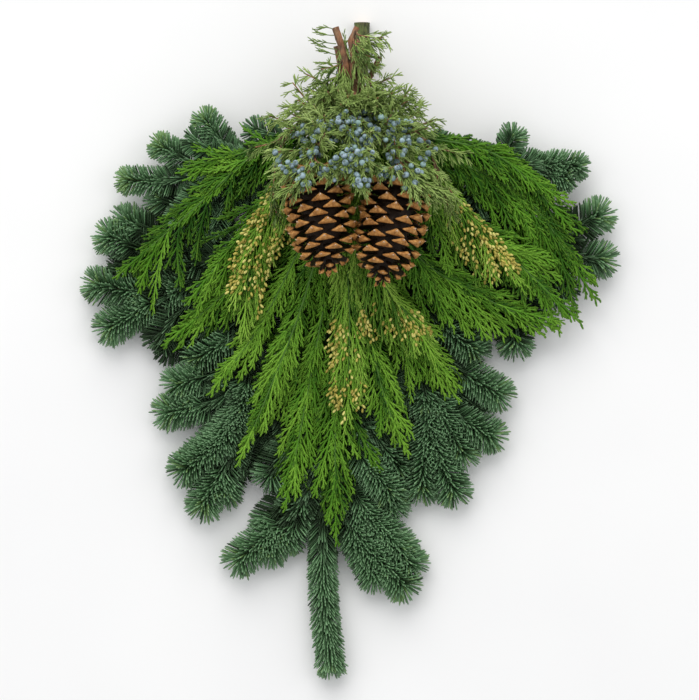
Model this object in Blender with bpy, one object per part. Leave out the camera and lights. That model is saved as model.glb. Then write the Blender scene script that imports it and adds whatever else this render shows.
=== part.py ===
"""A Christmas door swag of noble fir, incense cedar, juniper and two ponderosa pine cones, bound with wire.

The swag lies on its back on a table. +Y runs to the cut stems at its top, +X to its right and +Z
from the door towards whoever looks at it. The origin is under the middle of the swag, on the table.
Lengths in the tables are millimetres, and at() and MM turn them into metres.
"""

import math
import random

import bmesh
import bpy
from mathutils import Matrix, Vector
from mathutils.bvhtree import BVHTree

MM = 0.001
UP = Vector((0, 0, 1))
GAP = 0.35 * MM  # between neighbouring pieces that touch on the real swag
AIR = 0.7 * MM  # more, round a needle

# The tie, where the wire binds every stem, and how far the shorter stems reach past it.
TIE_Y = 264
STUB = 15
STRAIGHT = 12

# Fir: the needles, the twig that carries them, and how closely they stand.
FIR_NEEDLE = 25 * MM
FIR_TWIG_R = 2.1 * MM
FIR_STEP = 17 * MM
FIR_TWIST = math.radians(24)
FIR_CUT_R = 8.4 * MM  # the thick stem's cut end, whose flat underside lies on the table
FIR_CUT_Z = FIR_CUT_R / MM * math.cos(math.radians(30))

# Each fir bough: its seat in the tie (x, z), the stem's radius there and at its end, the ends of
# a stem that reaches past the tie, the stem's route (x, y, z), the tip of its leading twig, and its
# side twigs, each as the share of the stem where it starts and the place of its end (x, y, z).
FIR_BOUGHS = {
    "fir_bough_centre": {
        "seat": (8, 9.5),
        "radius": (7.0, 2.6),
        "ends": [(21, 351, FIR_CUT_Z), (18, 329.5, FIR_CUT_Z), (15, 308, FIR_CUT_Z)],
        "stem": [(3, 160, 12), (-10, 22, 14), (-21, -84, 15), (-28, -165, 16)],
        "leader": (-18, -345, 17),
        "twigs": [
            (0.62, (-69, -36, 20)),
            (0.60, (49, -36, 20)),
            (0.74, (-88, -136, 19)),
            (0.72, (46, -154, 21)),
            (0.88, (-120, -210, 18)),
            (0.86, (63, -246, 18)),
        ],
    },
    "fir_bough_left": {
        "seat": (-16, 7.5),
        "radius": (4.6, 2.4),
        "stem": [(-30, 212, 10), (-69, 151, 12), (-122, 95, 13), (-176, 68, 14)],
        "leader": (-271, 71, 17),
        "twigs": [
            (0.66, (-259, 123, 19)),
            (0.70, (-156, 24, 18)),
            (0.80, (-203, 12, 18)),
            (0.90, (-258, 23, 17)),
        ],
    },
    "fir_bough_lower_left": {
        "seat": (-5.5, 7.5),
        "radius": (4.6, 2.4),
        "stem": [(-35, 172, 11), (-74, 76, 13), (-102, 1, 14), (-113, -62, 15)],
        "leader": (-157, -167, 17),
        "twigs": [
            (0.76, (-190, -32, 20)),
            (0.86, (-196, -66, 16)),
            (0.95, (-181, -124, 20)),
        ],
    },
    "fir_bough_lower_right": {
        "seat": (21.5, 7.5),
        "radius": (4.6, 2.4),
        "stem": [(41, 162, 11), (63, 65, 13), (75, -9, 14), (82, -62, 15)],
        "leader": (112, -152, 17),
        "twigs": [
            (0.66, (161, -48, 20)),
            (0.86, (150, -88, 17)),
        ],
    },
    "fir_bough_right": {
        "seat": (32, 7.5),
        "radius": (4.6, 2.4),
        "stem": [(59, 204, 10), (124, 146, 12), (182, 116, 14), (212, 106, 15)],
        "leader": (271, 97, 17),
        "twigs": [
            (0.62, (184, 8, 17)),
            (0.80, (268, 146, 19)),
            (0.86, (226, 62, 18)),
        ],
    },
    "fir_bough_upper_left": {
        "seat": (0, 21),
        "radius": (3.9, 2.3),
        "stem": [(-53, 231, 25), (-106, 204, 27), (-160, 186, 26)],
        "leader": (-234, 181, 24),
        "twigs": [
            (0.56, (-149, 248, 27)),
            (0.66, (-170, 226, 32)),
            (0.80, (-203, 222, 25)),
            (0.72, (-180, 142, 30)),
        ],
    },
    "fir_bough_upper_right": {
        "seat": (16, 21),
        "radius": (3.9, 2.3),
        "stem": [(59, 240, 25), (108, 217, 27), (161, 201, 26), (193, 199, 25)],
        "leader": (242, 210, 24),
        "twigs": [
            (0.46, (112, 232, 30)),
            (0.66, (170, 229, 27)),
            (0.88, (232, 181, 28)),
        ],
    },
}

# Cedar: a frond is a rib with side sprays, and a spray is a thin blade with fingers on both edges.
CEDAR_R = 1.9 * MM  # the rib in the tie
CEDAR_SPRAY_R = 1.2 * MM
CEDAR_FINGER = 17 * MM
CEDAR_STEP = 20 * MM
CEDAR_SPRAY_EVERY = 56 * MM
CEDAR_SPRAYS = 4  # the most side sprays on a frond
POLLEN_SPRAYS = 3
CEDAR_SPRAY_LONG = 88 * MM
CEDAR_SPRAY_SHORT = 50 * MM
CEDAR_BARE = 0.40  # share of the rib with no sprays, where other pieces cover it
CEDAR_ROW_Z = 27.5  # the lowest row of ribs in the tie
CEDAR_ROW_STEP = 3.3
CEDAR_SHELL_Z = 33  # the lowest layer of fronds, over the fir
CEDAR_LAYER = 5.0
CEDAR_DROOP = 10  # how far a frond sinks over 350 mm
POLLEN_LONG = 3.6 * MM
POLLEN_R = 1.7 * MM

# Each frond: its layer, from the fir outwards, its x in the tie, and its rib's places (x, y).
CEDAR_FRONDS = {
    "cedar_frond_01": (0, -4, [(-94, 216), (-181, 188)]),
    "cedar_frond_02": (1, -4, [(-101, 207), (-166, 149), (-249, 77)]),
    "cedar_frond_03": (2, -4, [(-80, 172), (-117, 121), (-173, 48)]),
    "cedar_frond_04": (0, -0.7, [(-69, 145), (-117, 76), (-197, 6)]),
    "cedar_frond_05": (1, -0.7, [(-53, 108), (-98, 22), (-149, -46)]),
    "cedar_frond_06": (2, -0.7, [(-48, 55), (-85, -42), (-119, -122)]),
    "cedar_frond_07": (0, 2.6, [(-26, 55), (-48, -63), (-69, -170)]),
    "cedar_frond_08": (1, 2.6, [(-8, 33), (-15, -85), (-14, -205)]),
    "cedar_frond_09": (2, 2.6, [(17, 44), (38, -52), (63, -111)]),
    "cedar_frond_10": (0, 5.9, [(38, 65), (81, 1), (117, -55)]),
    "cedar_frond_11": (1, 5.9, [(70, 103), (145, 55), (223, 22)]),
    "cedar_frond_12": (2, 5.9, [(86, 162), (166, 103), (246, 28)]),
    "cedar_frond_13": (0, 9.2, [(91, 210), (190, 158), (262, 52)]),
    "cedar_frond_14": (1, 9.2, [(81, 226), (161, 204), (241, 124)]),
    "pollen_frond_1": (3, -2.5, [(-70, 168), (-102, 102), (-112, 18)]),
    "pollen_frond_2": (3, 2, [(-2, 97), (0, 33), (-2, -74)]),
    "pollen_frond_3": (4, 4, [(27, 87), (65, 33), (91, -10)]),
    "pollen_frond_4": (3, 6.5, [(81, 188), (134, 129), (182, 71)]),
}

# Juniper: twigs with short scaly branchlets and round berries.
JUNIPER_TWIG_R = 1.3 * MM
JUNIPER_LEAF = 15 * MM
JUNIPER_STEP = 15 * MM
JUNIPER_TWIST = math.radians(30)
BERRY_R = 3.6 * MM

# Each juniper branch: its seat, radii, route and side twigs, as for the fir, and how many berries
# it bears.
JUNIPER_BRANCHES = {
    "juniper_branch_left": {
        "seat": (-3, 47),
        "radius": (4.0, 1.9),
        "ends": [(-13.5, 343, 51)],
        "stem": [(-9, 243, 64), (-26, 220, 93), (-38, 200, 120), (-42, 182, 135)],
        "twigs": [
            (0.10, (-42, 322, 60)),
            (0.24, (-48, 296, 62)),
            (0.50, (-54, 262, 84)),
            (0.60, (-66, 232, 104)),
            (0.64, (-26, 244, 120)),
            (0.78, (-72, 188, 120)),
            (0.86, (-20, 182, 142)),
            (0.96, (-60, 152, 138)),
        ],
        "berries": 6,
    },
    "juniper_branch_right": {
        "seat": (6, 46.4),
        "radius": (2.9, 1.8),
        "ends": [(8, 341, 50)],
        "stem": [(14, 243, 64), (35, 218, 90), (52, 195, 114), (60, 176, 126)],
        "twigs": [
            (0.12, (38, 328, 58)),
            (0.26, (44, 300, 62)),
            (0.50, (62, 262, 84)),
            (0.60, (82, 232, 100)),
            (0.64, (40, 240, 120)),
            (0.78, (92, 184, 112)),
            (0.86, (40, 174, 136)),
            (0.96, (80, 142, 128)),
        ],
        "berries": 6,
    },
    "juniper_branch_centre": {
        "seat": (3, 52.5),
        "radius": (2.4, 1.6),
        "stem": [(4, 240, 82), (7, 215, 114), (10, 192, 130)],
        "twigs": [
            (0.30, (-4, 258, 106)),
            (0.55, (24, 226, 136)),
            (0.70, (-8, 196, 144)),
            (0.94, (12, 150, 146)),
        ],
        "berries": 4,
    },
    "juniper_branch_far_left": {
        "seat": (-9, 43),
        "radius": (2.4, 1.6),
        "stem": [(-36, 250, 60), (-66, 224, 72), (-78, 190, 77)],
        "twigs": [
            (0.30, (-60, 282, 66)),
            (0.50, (-92, 252, 76)),
            (0.66, (-102, 212, 84)),
            (0.80, (-62, 178, 96)),
            (0.96, (-76, 142, 76)),
        ],
        "berries": 3,
    },
    "juniper_branch_far_right": {
        "seat": (12, 44),
        "radius": (2.4, 1.6),
        "stem": [(44, 248, 64), (80, 218, 78), (94, 176, 80)],
        "twigs": [
            (0.30, (66, 284, 68)),
            (0.50, (102, 248, 80)),
            (0.66, (120, 206, 88)),
            (0.82, (112, 158, 90)),
            (0.96, (100, 118, 78)),
        ],
        "berries": 3,
    },
}

# Pine cones: each one's base and tip, and its greatest radius.
CONES = {
    "pine_cone_left": ((-37, 187, 92), (-20, 80, 118), 36),
    "pine_cone_right": ((53, 175, 88), (31, 70, 112), 36),
}
CONE_SCALES_ROUND = 8
CONE_RINGS = 8
CONE_CORE_R = 10.5 * MM
CONE_SCALE_WIDE = 24 * MM
CONE_SCALE_HIGH = 5.8 * MM
CONE_STUB_R = 3.6 * MM
CONE_STUB = 11 * MM

# Wire: the binding, its hanging loop behind the stems, and the wires that hold the cones.
WIRE_R = 0.6 * MM
BINDING_TURNS = 3
BINDING_SIDES = 8
BINDING_PITCH = 2.1
HANG_LOOP_WIDE = 13
HANG_LOOP_LONG = 36
CONE_WIRE_SEATS = {"pine_cone_left": (-8.4, 46.5), "pine_cone_right": (10.3, 48)}

# Each kind's colour, roughness and metallic value.
COLOURS = {
    "fir": ((0.07, 0.17, 0.09), 0.55, 0),
    "cedar": ((0.10, 0.28, 0.04), 0.5, 0),
    "pollen": ((0.22, 0.30, 0.06), 0.5, 0),
    "juniper": ((0.17, 0.25, 0.10), 0.6, 0),
    "pine": ((0.36, 0.17, 0.06), 0.6, 0),
    "wire": ((0.06, 0.12, 0.07), 0.4, 0.6),
}

pieces = []  # every stem, twig and spray, in the order in which it claims its space


def at(x, y, z):
    return Vector((x, y, z)) * MM


def material(node):
    """The node's own material, in the colour of its kind, which its name starts with."""
    colour, roughness, metallic = COLOURS[node.split("_")[0]]
    made = bpy.data.materials.new(node)
    made.use_nodes = True
    shader = made.node_tree.nodes["Principled BSDF"]
    shader.inputs["Base Color"].default_value = (*colour, 1)
    shader.inputs["Roughness"].default_value = roughness
    shader.inputs["Metallic"].default_value = metallic
    return made


# Routes


def curve_through(points, per_span=12):
    """Closely spaced places on a smooth curve through the points."""
    ends = [2 * points[0] - points[1], *points, 2 * points[-1] - points[-2]]
    places = [points[0]]
    for a, b, c, d in zip(ends, ends[1:], ends[2:], ends[3:]):
        for i in range(1, per_span + 1):
            t = i / per_span
            bend = (2 * a - 5 * b + 4 * c - d) * t**2 + (3 * b - a - 3 * c + d) * t**3
            places.append(0.5 * (2 * b + (c - a) * t + bend))
    return places


def evenly(places, step):
    """The same line with a place about every step."""
    lengths = [0.0]
    for a, b in zip(places, places[1:]):
        lengths.append(lengths[-1] + (b - a).length)
    count = max(2, round(lengths[-1] / step))
    even = []
    span = 0
    for i in range(count + 1):
        wanted = lengths[-1] * i / count
        while span < len(places) - 2 and lengths[span + 1] < wanted:
            span += 1
        share = (wanted - lengths[span]) / max(lengths[span + 1] - lengths[span], 1e-9)
        even.append(places[span].lerp(places[span + 1], min(share, 1.0)))
    return even


def place_on(route, share):
    """The place on the route at this share of it, and the way that it runs there."""
    spot = share * (len(route) - 1)
    i = min(int(spot), len(route) - 2)
    return route[i].lerp(route[i + 1], spot - i), (route[i + 1] - route[i]).normalized()


def stem_places(seat, stem, step, ends=()):
    """A stem's places: its cut end, straight through the tie, then on through its own places."""
    x, z = seat
    ends = [at(*end) for end in ends]
    top, knee = at(x, TIE_Y + STUB, z), at(x, TIE_Y - STRAIGHT, z)
    rest = curve_through([top, knee, *[at(*p) for p in stem]])[12:]
    return [*ends, top, *evenly(rest, step)]


def side_route(route, share, end):
    """A side twig's route: out of the stem's middle, along with it at first, then away to its end."""
    start, way = place_on(route, share)
    reach = (end - start).length
    bend = start + way * 0.22 * reach + (end - start) * 0.28
    return curve_through([start, bend, end])


# Solids


def as_mesh(obj, point, reach):
    """The curve object as a welded mesh object, with the corners near a given point drawn together there."""
    name = obj.name
    graph = bpy.context.evaluated_depsgraph_get()
    mesh = bpy.data.meshes.new_from_object(obj.evaluated_get(graph))
    bpy.data.objects.remove(obj)
    made = bpy.data.objects.new(name, mesh)
    bpy.context.scene.collection.objects.link(made)
    shape = bmesh.new()
    shape.from_mesh(mesh)
    bmesh.ops.remove_doubles(shape, verts=shape.verts, dist=1e-6)
    if point:
        last_ring = [v for v in shape.verts if (v.co - point).length < reach]
        bmesh.ops.pointmerge(shape, verts=last_ring, merge_co=point)
    bmesh.ops.recalc_face_normals(shape, faces=shape.faces)
    shape.to_mesh(mesh)
    shape.free()
    return made


def tube(name, route, radii, sides=4, turn=0.0, twist=0.0, pointed=False):
    """A tube along the route, with 4, 6 or 8 sides, turned by an angle that grows along it."""
    curve = bpy.data.curves.new(name, "CURVE")
    curve.dimensions = "3D"
    curve.twist_mode = "Z_UP"
    curve.bevel_depth = 1.0
    curve.bevel_resolution = (sides - 4) // 2
    curve.use_fill_caps = True
    line = curve.splines.new("POLY")
    line.points.add(len(route) - 1)
    for i, point in enumerate(line.points):
        point.co = (*route[i], 1.0)
        point.radius = radii[i]
        point.tilt = turn + i * twist
    obj = bpy.data.objects.new(name, curve)
    bpy.context.scene.collection.objects.link(obj)
    return as_mesh(obj, route[-1] if pointed else None, radii[-1] * 2)


def taper(count, first, last):
    return [first + (last - first) * i / (count - 1) for i in range(count)]


def shape_of(obj):
    """The mesh's corners and faces, as a search tree takes them."""
    return [v.co.copy() for v in obj.data.vertices], [tuple(p.vertices) for p in obj.data.polygons]


def measure(piece):
    piece["shape"] = shape_of(piece["obj"])
    piece["box"] = box_of(piece["shape"][0])


def add_piece(node, obj, route, radii, spike=None):
    piece = {"node": node, "obj": obj, "route": route, "radii": radii, "spike": spike}
    measure(piece)
    pieces.append(piece)
    return piece


def box_of(places, margin=0.0):
    """The lowest and highest corner of the places, with a margin round them."""
    low = Vector([min(p[k] for p in places) - margin for k in range(3)])
    return low, Vector([max(p[k] for p in places) + margin for k in range(3)])


def tree_near(places, margin, left_out):
    """A search tree of the pieces near these places that left_out doesn't name, or None."""
    low, high = box_of(places, margin)
    corners, faces = [], []
    for piece in pieces:
        piece_low, piece_high = piece["box"]
        if left_out(piece) or any(piece_high[k] < low[k] or piece_low[k] > high[k] for k in range(3)):
            continue
        first = len(corners)
        corners += piece["shape"][0]
        faces += [tuple(first + i for i in face) for face in piece["shape"][1]]
    return BVHTree.FromPolygons(corners, faces) if faces else None


def clear_part(node, route, radius):
    """As much of the route, from its start, as stays clear of every other node."""
    tree = tree_near(route, radius + GAP + AIR, lambda piece: piece["node"] == node)
    if tree is None:
        return route
    needed = radius + GAP
    for i, place in enumerate(evenly(route, 2 * MM)):
        if tree.find_nearest(place, needed + AIR)[0] is not None:
            kept = evenly(route, 2 * MM)[: max(i - 2, 0)]
            return kept if len(kept) > 6 else None
    return route


def clear_length(tree, base, root, way, length, along):
    """How long a spike may be and stay clear of other pieces, or nothing under a fifth of its length."""
    if tree is None:
        return length
    across = way.cross(along).normalized()
    grown = []
    for corner in base:
        off = corner - root
        outwards = along * math.copysign(AIR, off.dot(along)) + across * math.copysign(AIR, off.dot(across))
        grown.append(corner + outwards)
    rim = [(i, (i + 1) % len(base), len(base)) for i in range(len(base))]
    for step in range(9):
        reach = length * (1 - 0.1 * step)
        spike = BVHTree.FromPolygons([*grown, root + way * (reach + AIR)], rim)
        if not spike.overlap(tree):
            return reach
    return 0.0


def where_on(route, place):
    """The share of the route nearest to a place, and the way that the route runs there."""
    i = min(range(len(route) - 1), key=lambda k: ((route[k] + route[k + 1]) / 2 - place).length)
    step = route[i + 1] - route[i]
    along = min(max((place - route[i]).dot(step) / step.length_squared, 0), 1)
    return (i + along) / (len(route) - 1), step.normalized()


def raise_spikes(piece):
    """Draws spikes out of a twig's faces: two from a side or upper face, and one from a lower face."""
    route, rule = piece["route"], piece["spike"]
    tree = tree_near(route, 30 * MM, lambda other: other is piece)
    chance = random.Random(piece["obj"].name)
    shape = bmesh.new()
    shape.from_mesh(piece["obj"].data)
    bearing = []
    for face in shape.faces:
        _, along = where_on(route, face.calc_center_median())
        if rule(0.5, face.normal.copy(), along, chance):
            bearing.append(face)
    lower = [face for face in bearing if face.normal.z < -0.6]
    upper = bmesh.ops.triangulate(shape, faces=[face for face in bearing if face not in lower])["faces"]
    for face in upper + lower:
        root = face.calc_center_median()
        share, along = where_on(route, root)
        wanted = rule(share, face.normal.copy(), along, chance)
        if wanted is None:
            continue
        way, length = wanted
        below = min((root + way * length).z, 0)
        way = (way * length - UP * below).normalized()
        length = clear_length(tree, [v.co for v in face.verts], root, way, length, along)
        if length > 0:
            tip = bmesh.ops.poke(shape, faces=[face])["verts"][0]
            tip.co = root + way * length
            tip.co.z = max(tip.co.z, 0)
    shape.to_mesh(piece["obj"].data)
    shape.free()
    measure(piece)


def fuse(node):
    """One solid of all the node's pieces, by a single union."""
    members = [piece["obj"] for piece in pieces if piece["node"] == node]
    body = members[0]
    if len(members) > 1:
        others = bpy.data.collections.new(node + "_parts")
        bpy.context.scene.collection.children.link(others)
        for obj in members[1:]:
            bpy.context.scene.collection.objects.unlink(obj)
            others.objects.link(obj)
        union = body.modifiers.new("union", "BOOLEAN")
        union.operation = "UNION"
        union.operand_type = "COLLECTION"
        union.collection = others
        graph = bpy.context.evaluated_depsgraph_get()
        mesh = bpy.data.meshes.new_from_object(body.evaluated_get(graph))
        for obj in members:
            bpy.data.objects.remove(obj)
        bpy.data.collections.remove(others)
        body = bpy.data.objects.new(node, mesh)
        bpy.context.scene.collection.objects.link(body)
    body.name = node
    body.data.name = node
    body.data.materials.clear()
    body.data.materials.append(material(node))
    bpy.context.scene.collection.objects.unlink(body)
    swag.objects.link(body)


def stand_on_origin():
    """Moves the swag so that its box stands on the origin, at the middle of its base."""
    corners = [v.co for obj in swag.objects for v in obj.data.vertices]
    low, high = box_of(corners)
    middle = Vector(((low.x + high.x) / 2, (low.y + high.y) / 2, low.z))
    for obj in swag.objects:
        obj.data.transform(Matrix.Translation(-middle))


# Fir


def fir_needle(share, out, along, chance):
    """Needles sweep forward and curl up from the twig, and close round its end."""
    if share < 0.06 or out.dot(along) < -0.8:
        return None
    side = out - along * out.dot(along)
    side.z *= 0.7
    side.normalize()
    sweep = 0.45 + 1.1 * share**6
    way = (side + along * (sweep + chance.uniform(-0.06, 0.06)) + UP * 0.12).normalized()
    return way, FIR_NEEDLE * chance.uniform(0.92, 1.04) * (1 - 0.2 * share**4)


def add_fir_stems():
    for name, bough in FIR_BOUGHS.items():
        ends = bough.get("ends", [])
        places = stem_places(bough["seat"], bough["stem"], 45 * MM, ends)
        first, last = (r * MM for r in bough["radius"])
        radii = [FIR_CUT_R] * len(ends) + taper(len(places) - len(ends), first, last)
        add_piece(name, tube(name + "_stem", places, radii, 6), places, radii)
        bough["route"] = evenly(places, 4 * MM)


def add_fir_twigs():
    for name, bough in FIR_BOUGHS.items():
        route = bough["route"]
        ends = [*bough["twigs"], (0.97, bough["leader"])]
        for number, (share, end) in enumerate(ends):
            line = clear_part(name, side_route(route, share, at(*end)), FIR_TWIG_R)
            if line is None:
                continue
            places = evenly(line, FIR_STEP)
            radii = taper(len(places), FIR_TWIG_R, FIR_TWIG_R * 0.6)
            turn = math.radians(45 + 37 * number)
            obj = tube(f"{name}_twig_{number}", places, radii, 4, turn, FIR_TWIST, pointed=True)
            add_piece(name, obj, places, radii, fir_needle)


# Cedar


def frond_height(x, y, layer):
    """How high a frond's rib runs over this place: its row in the tie, then its layer over the fir."""
    reach = math.hypot(x, y - TIE_Y)
    row = CEDAR_ROW_Z + CEDAR_ROW_STEP * layer
    shell = CEDAR_SHELL_Z + CEDAR_LAYER * layer
    share = min(max((reach - 15) / 60, 0), 1)
    rise = share * share * (3 - 2 * share)
    return row + (shell - row) * rise - CEDAR_DROOP * min(reach / 350, 1) ** 2


def cedar_finger(share, out, along, chance):
    """Fingers stand on both edges of a spray and sweep forward."""
    if abs(out.z) > 0.6 or share < 0.1 or out.dot(along) < -0.8:
        return None
    side = (out - along * out.dot(along)).normalized()
    side.z *= 0.3
    way = (side + along * chance.uniform(1.0, 1.35)).normalized()
    return way, CEDAR_FINGER * chance.uniform(0.85, 1.1) * (1 - 0.6 * share**3)


def add_cedar_ribs():
    for name, (layer, seat_x, places_xy) in CEDAR_FRONDS.items():
        stem = [(x, y, frond_height(x, y, layer)) for x, y in places_xy]
        first_x, first_y = places_xy[0]
        near = (seat_x + (first_x - seat_x) * 0.36, TIE_Y - STRAIGHT + (first_y - TIE_Y + STRAIGHT) * 0.42)
        stem.insert(0, (*near, frond_height(*near, layer)))
        seat = (seat_x, CEDAR_ROW_Z + CEDAR_ROW_STEP * layer)
        places = stem_places(seat, stem, 52 * MM)
        radii = taper(len(places), CEDAR_R, CEDAR_SPRAY_R)
        obj = tube(name + "_rib", places, radii, 4, math.radians(45), pointed=True)
        piece = add_piece(name, obj, places, radii)
        piece["line"] = evenly(places, 4 * MM)


def add_cedar_sprays():
    for rib in [p for p in pieces if "line" in p]:
        name = rib["node"]
        route = rib["line"]
        chance = random.Random(name)
        length = sum((b - a).length for a, b in zip(route, route[1:]))
        most = POLLEN_SPRAYS if name.startswith("pollen") else CEDAR_SPRAYS
        count = min(max(3, round(length * (1 - CEDAR_BARE) / CEDAR_SPRAY_EVERY)), most)
        for number in range(count + 1):
            share = CEDAR_BARE + (0.97 - CEDAR_BARE) * number / count
            start, along = place_on(route, share)
            if number == count:
                way, reach = along, CEDAR_SPRAY_SHORT
                share = 0.96
            else:
                side = along.cross(UP).normalized() * (1 if number % 2 else -1)
                way = (side * chance.uniform(0.55, 0.72) + along).normalized()
                reach = CEDAR_SPRAY_LONG + (CEDAR_SPRAY_SHORT - CEDAR_SPRAY_LONG) * number / count
            end = start + way * reach + along * 0.12 * reach - UP * 0.03 * reach
            line = clear_part(name, side_route(route, share, end), CEDAR_SPRAY_R)
            if line is None:
                continue
            places = evenly(line, CEDAR_STEP)
            radii = taper(len(places), CEDAR_SPRAY_R, CEDAR_SPRAY_R * 0.6)
            obj = tube(f"{name}_spray_{number}", places, radii, 4, math.radians(45), pointed=True)
            add_piece(name, obj, places, radii, cedar_finger)


def add_pollen_cones():
    """Small golden cones on the finger tips of the fronds that bear pollen."""
    for spray in [p for p in pieces if p["spike"] is cedar_finger and p["node"].startswith("pollen")]:
        tips = [v.co.copy() for v in spray["obj"].data.vertices]
        route = spray["route"]
        far = [t for t in tips if min((t - r).length for r in route) > CEDAR_FINGER * 0.5]
        for tip in far[1::9]:
            way = (tip - min(route, key=lambda r: (r - tip).length)).normalized()
            add_bud(spray["node"], tip - way * 1.2 * MM, way, POLLEN_LONG, POLLEN_R)


def add_bud(node, centre, way, half_long, radius):
    """A low eight-faced bud or berry sunk into the tip that carries it, where there is room for it."""
    tree = tree_near([centre], 10 * MM, lambda piece: piece["node"] == node)
    if tree and tree.find_nearest(centre + way * half_long * 0.5, half_long + AIR)[0] is not None:
        return
    shape = bmesh.new()
    if half_long > radius:
        bmesh.ops.create_uvsphere(shape, u_segments=4, v_segments=2, radius=1.0)
    else:
        bmesh.ops.create_icosphere(shape, subdivisions=1, radius=1.0)
    turn = way.to_track_quat("Z", "Y").to_matrix().to_4x4()
    size = Matrix.Diagonal((radius, radius, half_long, 1))
    shape.transform(Matrix.Translation(centre) @ turn @ size)
    mesh = bpy.data.meshes.new(node + "_bud")
    shape.to_mesh(mesh)
    shape.free()
    obj = bpy.data.objects.new(node + "_bud", mesh)
    bpy.context.scene.collection.objects.link(obj)
    add_piece(node, obj, [], [])


# Juniper


def juniper_leaf(share, out, along, chance):
    """Branchlets on all sides, swept forward, of uneven length."""
    if share < 0.12 or out.dot(along) < -0.8:
        return None
    side = (out - along * out.dot(along)).normalized()
    way = (side + along * chance.uniform(0.7, 1.3)).normalized()
    return way, JUNIPER_LEAF * chance.uniform(0.7, 1.1) * (1 - 0.3 * share**3)


def add_juniper_stems():
    for name, branch in JUNIPER_BRANCHES.items():
        places = stem_places(branch["seat"], branch["stem"], 30 * MM, branch.get("ends", []))
        first, last = (r * MM for r in branch["radius"])
        radii = taper(len(places), first, last)
        add_piece(name, tube(name + "_stem", places, radii, 6), places, radii)
        branch["route"] = evenly(places, 4 * MM)


def add_juniper_twigs():
    for name, branch in JUNIPER_BRANCHES.items():
        for number, (share, end) in enumerate(branch["twigs"]):
            line = clear_part(name, side_route(branch["route"], share, at(*end)), JUNIPER_TWIG_R)
            if line is None:
                continue
            places = evenly(line, JUNIPER_STEP)
            radii = taper(len(places), JUNIPER_TWIG_R, JUNIPER_TWIG_R * 0.7)
            obj = tube(f"{name}_twig_{number}", places, radii, 4, number, JUNIPER_TWIST, pointed=True)
            add_piece(name, obj, places, radii, juniper_leaf)


def add_berries():
    for name, branch in JUNIPER_BRANCHES.items():
        chance = random.Random(name + " berries")
        twigs = [p for p in pieces if p["node"] == name and p["spike"]]
        for number in range(branch["berries"]):
            twig = twigs[number % len(twigs)]
            spot, along = place_on(twig["route"], chance.uniform(0.5, 0.95))
            side = Vector((chance.uniform(-1, 1), chance.uniform(-1, 0.2), chance.uniform(0.2, 1)))
            side.normalize()
            add_bud(name, spot + side * (BERRY_R + 0.2 * MM), side, BERRY_R, BERRY_R)


# Pine cones


def cone_profile(share):
    """The cone's outline, base to tip, as a share of its greatest radius."""
    return math.sqrt(1 - ((share - 0.42) / 0.64) ** 2)


def add_cones():
    for name, (base, tip, widest) in CONES.items():
        start, end = at(*base), at(*tip)
        axis = (end - start).normalized()
        shares = [i / CONE_RINGS for i in range(CONE_RINGS + 1)]
        places = [start.lerp(end, 0.03 + 0.9 * share) for share in shares]
        radii = [CONE_CORE_R * (1 - 0.55 * share**2) for share in shares]
        half_pitch = math.pi / CONE_SCALES_ROUND
        core = tube(name + "_core", places, radii, CONE_SCALES_ROUND, twist=half_pitch)
        piece = add_piece(name, core, places, radii)
        spread_scales(piece, start, axis, (end - start).length, widest * MM)
        stub = [start - axis * CONE_STUB * 0.7, start + axis * CONE_STUB]
        add_piece(name, tube(name + "_stub", stub, [CONE_STUB_R] * 2, 6), stub, [CONE_STUB_R] * 2)


def spread_scales(piece, start, axis, length, widest):
    """Draws each face of the core out into a scale with a thick end and a raised boss."""
    tree = tree_near([start, start + axis * length], widest, lambda other: other is piece)
    shape = bmesh.new()
    shape.from_mesh(piece["obj"].data)
    sides = [face for face in shape.faces if abs(face.normal.dot(axis)) < 0.7]
    for face in bmesh.ops.extrude_discrete_faces(shape, faces=sides)["faces"]:
        middle = face.calc_center_median()
        share = (middle - start).dot(axis) / length
        foot = start + axis * share * length
        out = (middle - foot).normalized()
        across = axis.cross(out)
        way = (out + axis * (0.75 * share**1.5 - 0.12)).normalized()
        end_radius = widest * cone_profile(share)
        reach = (end_radius - (middle - foot).length) / max(way.dot(out), 0.5)
        half_wide = min(math.pi * end_radius / CONE_SCALES_ROUND * 0.8, CONE_SCALE_WIDE / 2)
        half_high = CONE_SCALE_HIGH / 2 * (1 - 0.3 * share)
        if tree:
            side, high = across * half_wide, axis * half_high
            rim = [middle - side - high, middle + side - high, middle + side + high, middle - side + high]
            clear = clear_length(tree, rim, middle, way, reach + CONE_SCALE_WIDE / 3, across)
            reach = min(reach, max(clear - CONE_SCALE_WIDE / 3, reach * 0.45))
        end = middle + way * reach
        rise = way.cross(across).normalized()
        if rise.dot(axis) < 0:
            rise = -rise
        for corner in face.verts:
            off = corner.co - middle
            upper = off.dot(axis) > 0
            sideways = math.copysign(half_wide * (0.55 if upper else 1), off.dot(across))
            corner.co = end + across * sideways + rise * (half_high if upper else -half_high)
        boss = bmesh.ops.poke(shape, faces=[face])["verts"][0]
        boss.co = end + way * 3.2 * MM - rise * 1.2 * MM
    shape.to_mesh(piece["obj"].data)
    shape.free()
    measure(piece)


# Wire


def wire(name, places):
    radii = [WIRE_R] * len(places)
    add_piece(name, tube(name, places, radii, 4), places, radii)


def tie_circles():
    """The stems where the wire crosses them, each as its middle (x, z) and radius."""
    circles = []
    tie = TIE_Y * MM
    for piece in pieces:
        route = piece["route"]
        for i in range(len(route) - 1):
            a, b = route[i], route[i + 1]
            if a.y > tie >= b.y or b.y > tie >= a.y:
                near = a.lerp(b, (a.y - tie) / (a.y - b.y))
                circles.append((near.x, near.z, piece["radii"][i]))
                break
    return circles


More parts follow.
